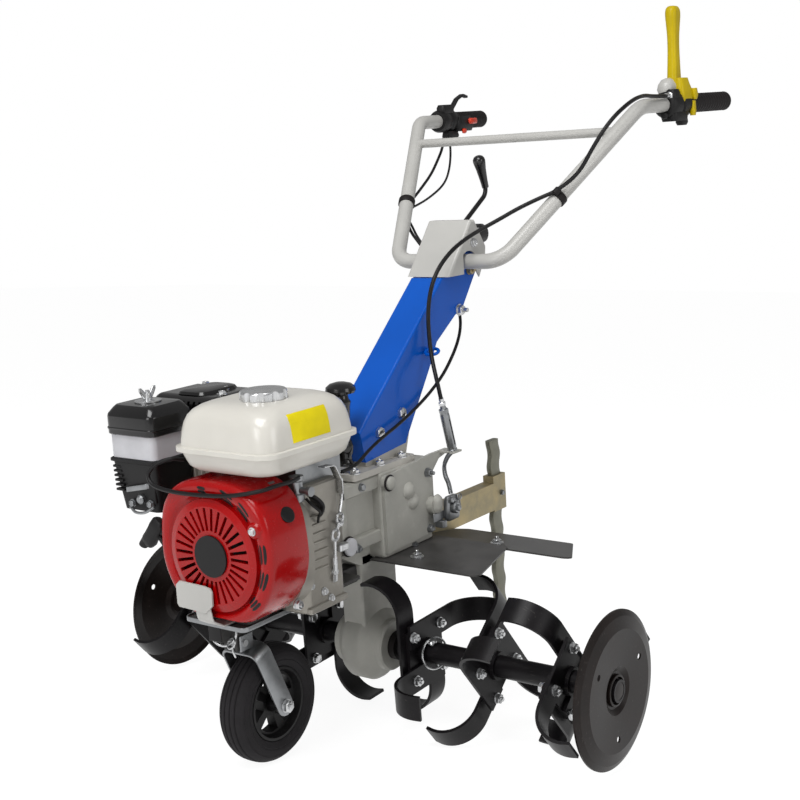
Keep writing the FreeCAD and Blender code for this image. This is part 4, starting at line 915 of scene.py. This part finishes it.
# ---------------------------------------------------------------- hand controls
CLAMP = {side: (GRIP_RUN[side], (side * 0.13, 0.99, 0), Z) for side in (1, -1)}
lever_levels = smooth_route([(30, 20, 7, 0), (29, 19, 7, 14), (26, 18, 7, 40), (24, 17, 7, 68),
                             (25, 17, 7, 92), (29, 19, 8, 112), (32, 21, 9, 128), (30, 20, 9, 138),
                             (21, 14, 6.5, 143.4), (8, 5, 2.4, 144.7)], 46)
LEVER_FOOT = on_grip(1, 162, (0, 0, 25.6))
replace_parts(make("clutch_hand_lever", [lofted(lever_levels.tolist(), LEVER_FOOT, per_corner=7)], "yellow",
                 "handlebar_body", sharp=60), "clutch_lever")
make("clutch_trigger", [
    lofted([(12, 10, 4, 0), (30, 20, 7, 8), (36, 24, 8, 20), (40, 26, 8, 34), (32, 24, 7, 44),
            (28, 22, 7, 56)], on_grip(1, 152, (0, 14, -10)),
           ((0.99, -0.13, 0), (0.13, 0.99, 0), (0.1, -0.12, 0.98))),
    lofted([(8, 8, 3, 0), (14, 12, 4, 8), (12, 10, 4, 20)], on_grip(1, 134, (0, 22, 6)),
           (X, Y, (0.1, 0, 0.99))),
    lofted([(9, 9, 3, 0), (12, 11, 4, 8), (10, 9, 3, 26)], on_grip(1, 140, (0, 22, -22))),
], "yellow", "handlebar_body", sharp=60)
make("clutch_lever_boss", [
    lofted([(46, 24, 10, 0), (50, 30, 12, 8), (46, 28, 12, 17), (32, 20, 9, 25), (14, 10, 4, 28)],
           on_grip(1, 172, (0, -4, 18)), ((0.99, -0.13, 0), (0.13, 0.99, 0), Z)),
], "light_grey", "handlebar_body", sharp=60)
housing = [
    hoop([(13.3, -32), (21, -32), (24, -29), (25, -20), (25, -4), (22.5, -2), (22.5, 2), (25, 4), (25, 20),
          (23, 29), (19, 32), (13.3, 32)], on_grip(1, 166), GRIP_RUN[1], 44),
    lofted([(44, 30, 8, 0), (46, 34, 9, 6), (46, 34, 9, 16), (40, 30, 8, 24)], on_grip(1, 170, (0, 4, -30)),
           CLAMP[1]),
    lofted([(20, 22, 6, 0), (24, 24, 7, 6), (24, 24, 7, 18), (18, 20, 6, 24)], on_grip(1, 186, (0, 10, 2)),
           CLAMP[1]),
    lofted([(16, 14, 5, 0), (22, 18, 6, 5), (20, 16, 5, 14)], on_grip(1, 150, (0, 6, -38)), CLAMP[1]),
    turned([(0, 0), (6, 0), (7, 3), (7, 12), (5, 14), (0, 14)], on_grip(1, 190, (0, 2, -18)), GRIP_RUN[1],
           24),
]
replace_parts(make("clutch_clamp", housing, "matte_black", "handlebar_body", sharp=50), "clutch_housing")
CABLE_SEAT = on_grip(1, 194, (2.0, 11.8, 14.9))
make("cable_barrels", [
    turned([(0, -4), (6.2, -4), (6.2, 3), (4.6, 4), (4.6, 14), (0, 14)], CABLE_SEAT, GRIP_RUN[1], 24, (1, 2)),
], "bright", "handlebar_body")
barrel = [(0, 0), (5.2, 0), (5.2, 5), (4.2, 6), (4.2, 12), (0, 12)]
make("adjuster_barrel", [turned(barrel, (-127, 76, 372.3), (0.265, 0, 0.964), 24, (1, 2))], "bright")
throttle_body = [
    hoop([(13.3, -30), (19, -30), (22, -26), (22, -6), (20, -4), (20, 4), (22, 6), (22, 22), (19, 30),
          (13.3, 30)], on_grip(-1, 166), GRIP_RUN[-1], 40),
    lofted([(40, 16, 5, 0), (46, 20, 6, 5), (46, 20, 6, 14), (38, 16, 5, 20)], on_grip(-1, 168, (0, 6, 12)),
           CLAMP[-1]),
    lofted([(60, 20, 7, 0), (68, 26, 9, 8), (66, 26, 9, 20), (50, 20, 7, 30)], on_grip(-1, 112, (0, 14, -22)),
           CLAMP[-1]),
    lofted([(36, 18, 6, 0), (44, 22, 7, 6), (40, 18, 6, 16)], on_grip(-1, 150, (0, 6, -36)), CLAMP[-1]),
    strip(bent([on_grip(-1, 140, (0, 4, 22)), on_grip(-1, 120, (0, 8, 42)), on_grip(-1, 98, (0, 10, 50)),
                on_grip(-1, 84, (0, 12, 46))], [12, 8]), Y, 11, 5),
]
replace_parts(make("throttle_clamp", throttle_body, "matte_black", "handlebar_body", sharp=50),
            "throttle_housing", "throttle_lever")
GRIP_FACE = (GRIP_RUN[-1], Z, (0.13, 0.99, 0))
make("throttle_buttons", [
    lofted([(34, 9, 4, 0), (36, 12, 5, 3), (30, 11, 5, 7), (18, 7, 3, 9)], on_grip(-1, 88, (0, 26, -3)),
           GRIP_FACE),
    lofted([(14, 9, 4, 0), (15, 10, 4, 3), (10, 7, 3, 6)], on_grip(-1, 126, (0, 25, -22)),
           GRIP_FACE),
], "orange", "handlebar_body")
handle = turned([(0, 0), (5.6, 0), (6.2, 1), (6.6, 12), (8.6, 34), (10.6, 46), (11.0, 50), (10.4, 54),
                 (8.2, 57.5), (4.6, 59.6), (0, 60.2)], (-403.5, 0, 709), (0.333, 0, 0.943), 40)
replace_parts(make("gear_knob", [handle], "gloss_black"), "gear_lever_grip")

# ---------------------------------------------------------------- cables
def cable(name, route, radius):
    """Sheath of one radius on an order-3 NURBS line whose control points are the cable's own route."""
    curve = bpy.data.curves.new(name, "CURVE")
    curve.dimensions = "3D"
    spline = curve.splines.new("NURBS")
    spline.points.add(len(route) - 1)
    row = place(route)
    spline.points.foreach_set("co", np.column_stack((row, np.ones(len(row)))).ravel())
    spline.order_u = 3
    spline.use_endpoint_u = True
    curve.resolution_u = 10
    curve.bevel_depth = radius / 1000
    curve.bevel_resolution = 4
    curve.use_fill_caps = True
    holder = bpy.data.objects.new(name + "_line", curve)
    mesh = bpy.data.meshes.new_from_object(holder)
    bpy.data.objects.remove(holder)
    bpy.data.curves.remove(curve)
    mesh.name = name
    mesh.materials.clear()
    mesh.materials.append(finishes["sheath"])
    mesh.polygons.foreach_set("use_smooth", np.ones(len(mesh.polygons), bool))
    piece = bpy.data.objects.new(name, mesh)
    bpy.context.scene.collection.objects.link(piece)
    return piece


CLIP_SHARE = 0.4


def riser(side):
    """Foot of a riser and the run to its top."""
    return on_side(BAR_LOW, side), on_side(BAR_TOP, side) - on_side(BAR_LOW, side)


def riser_clip(side, radius, out):
    """Cable's middle where a clip holds it against a riser of the handlebar."""
    low, run = riser(side)
    away = np.asarray(out, float) - run * (np.dot(out, run) / np.dot(run, run))
    return low + run * CLIP_SHARE + away / np.linalg.norm(away) * (15 + radius)


seat = np.array((0.0, 12.0, 15.0))
seat -= GRIP_RUN[1] * np.dot(seat, GRIP_RUN[1])
clutch_start = on_grip(1, 194) + seat
CLUTCH_CLIP = riser_clip(1, 3.5, (0.3, 0.4, 0.9))
THROTTLE_CLIP = riser_clip(-1, 2.75, (-0.3, -0.6, -0.7))
clutch_route = [
    clutch_start, clutch_start + GRIP_RUN[1] * 50, (-516, 256, 851), (-460, 260, 841), (-410, 248, 812),
    (-388, 226, 770), (-382, 201, 727), CLUTCH_CLIP, (-353, 140, 690), (-326, 113, 675), (-298, 90, 658),
    (-271, 68, 643), (-235, 55, 627), (-196, 51, 607), (-165, 49, 581), (-150, 46, 549), (-145, 44, 514),
    (-144, 45, 478), (-138, 52, 446), (-117.6, 76, 406.5), (-127, 76, 372),
]
throttle_route = [
    on_grip(-1, 162, (0, -3, -22.3)), (-650, -256, 786), (-618, -250, 758), (-574, -236, 733),
    (-522, -222, 711), (-470, -208, 691), (-424, -192, 680), THROTTLE_CLIP, (-366, -146, 640),
    (-358, -116, 612), (-353, -84, 582), (-345, -54, 550), (-328, -24, 518), (-300, 4, 487), (-256, 26, 456),
    (-196, 39, 417), (-148, 42, 391), (-98, 42, 369), (-46, 43, 352), (2, 46, 341), (44, 50, 329),
    (78, 52, 313), (112, 52, 313),
]
across_pivot = (
    ("clutch_sheath", clutch_route, 3.5, "clutch_cable", CLUTCH_CLIP, (-235, 55, 627)),
    ("throttle_sheath", throttle_route, 2.75, "throttle_cable", THROTTLE_CLIP, (-345, -54, 550)),
)
for name, route, radius, node, start, end in across_pivot:
    piece = cable(name, route, radius)
    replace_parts(piece, node)
    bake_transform(piece)


stop_route = [
    on_grip(-1, 150, (0, 2, -34)), (-662, -246, 782), (-634, -232, 742), (-590, -216, 712),
    (-520, -204, 690), (-450, -188, 678), THROTTLE_CLIP + (-2, -5, -4), (-380, -152, 652), (-372, -130, 620),
    (-366, -96, 588),
]
stop_wire = cable("stop_wire", stop_route, 2.2)
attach(stop_wire, "handlebar_body")


def riser_strap(side, clip):
    """Rubber strap round a riser with a pocket for the cable, drawn out where the pocket stands."""
    low, run = riser(side)
    along = run / np.linalg.norm(run)
    middle = low + run * CLIP_SHARE
    band = hoop([(13.2, -6.5), (14.6, -6.5), (15.2, -5.5), (15.2, 5.5), (14.6, 6.5), (13.2, 6.5)], middle,
                along, 40)
    out = np.asarray(clip) - middle
    pocket = turned([(0, -6.5), (5.6, -6.5), (6.4, -5.5), (6.4, 5.5), (5.6, 6.5), (0, 6.5)],
                    middle + out * 0.92, along, 20)
    return [band, pocket]


make("riser_straps", riser_strap(1, CLUTCH_CLIP) + riser_strap(-1, THROTTLE_CLIP), "grip", "handlebar_body")
make("sleeve_screw", [bolt((-392, 11.3, 155), Y, 8, 3, 5)], "zinc")


# ---------------------------------------------------------------- floor and world
FLOOR_GLOW, GLOW_SHARE = 1.18, 0.78


def lay_floor():
    """Pale floor: near white to the camera and in gloss, with the shadow kept at a fifth of its depth."""
    bpy.ops.mesh.primitive_plane_add(size=60)
    floor = bpy.context.object
    floor.name = "studio_floor"
    f = Finish("studio_floor_paper")
    f.finish(srgb(238, 238, 238), 0.9)
    rays = f.node("ShaderNodeLightPath", {})
    glossy = Value(f, rays.socket.node.outputs["Is Glossy Ray"])
    glow = f.node("ShaderNodeEmission", {}, (1, 1, 1, 1), FLOOR_GLOW)
    mixed = f.node("ShaderNodeMixShader", {}, (rays + glossy) * GLOW_SHARE)
    f.join(mixed.socket.node.inputs[1], Value(f, f.shader.outputs[0]))
    f.join(mixed.socket.node.inputs[2], glow)
    output = next(n for n in f.tree.nodes if n.bl_idname == "ShaderNodeOutputMaterial")
    f.join(output.inputs[0], mixed)
    floor.data.materials.append(f.material)


FILL = 0.36


def light_world():
    """White surround for the camera and reflections, and a soft grey fill for the rest."""
    world = bpy.data.worlds.new("studio")
    bpy.context.scene.world = world
    world.use_nodes = True
    tree = world.node_tree
    tree.nodes.clear()
    rays = tree.nodes.new("ShaderNodeLightPath")
    seen = tree.nodes.new("ShaderNodeMath")
    seen.operation = "MAXIMUM"
    mix = tree.nodes.new("ShaderNodeMixShader")
    output = tree.nodes.new("ShaderNodeOutputWorld")
    wires = [(rays.outputs["Is Camera Ray"], seen.inputs[0]),
             (rays.outputs["Is Transmission Ray"], seen.inputs[1]), (seen.outputs[0], mix.inputs[0]),
             (mix.outputs[0], output.inputs[0])]
    for socket, strength in ((1, FILL), (2, 1.0)):
        sky = tree.nodes.new("ShaderNodeBackground")
        sky.inputs[0].default_value = (1, 1, 1, 1)
        sky.inputs[1].default_value = strength
        wires.append((sky.outputs[0], mix.inputs[socket]))
    for start, end in wires:
        tree.links.new(start, end)


stand_camera()
light_world()
lay_floor()
softbox("key", (2.0, 0.5, 3.4), (0, 0, 0.5), 1.9, 84)
softbox("front", (3.8, 0.2, 1.5), (0, 0, 0.4), 1.5, 30)
softbox("side", (0.4, 3.8, 1.6), (0, 0, 0.4), 1.6, 24)

bpy.context.scene.view_settings.view_transform = "Standard"
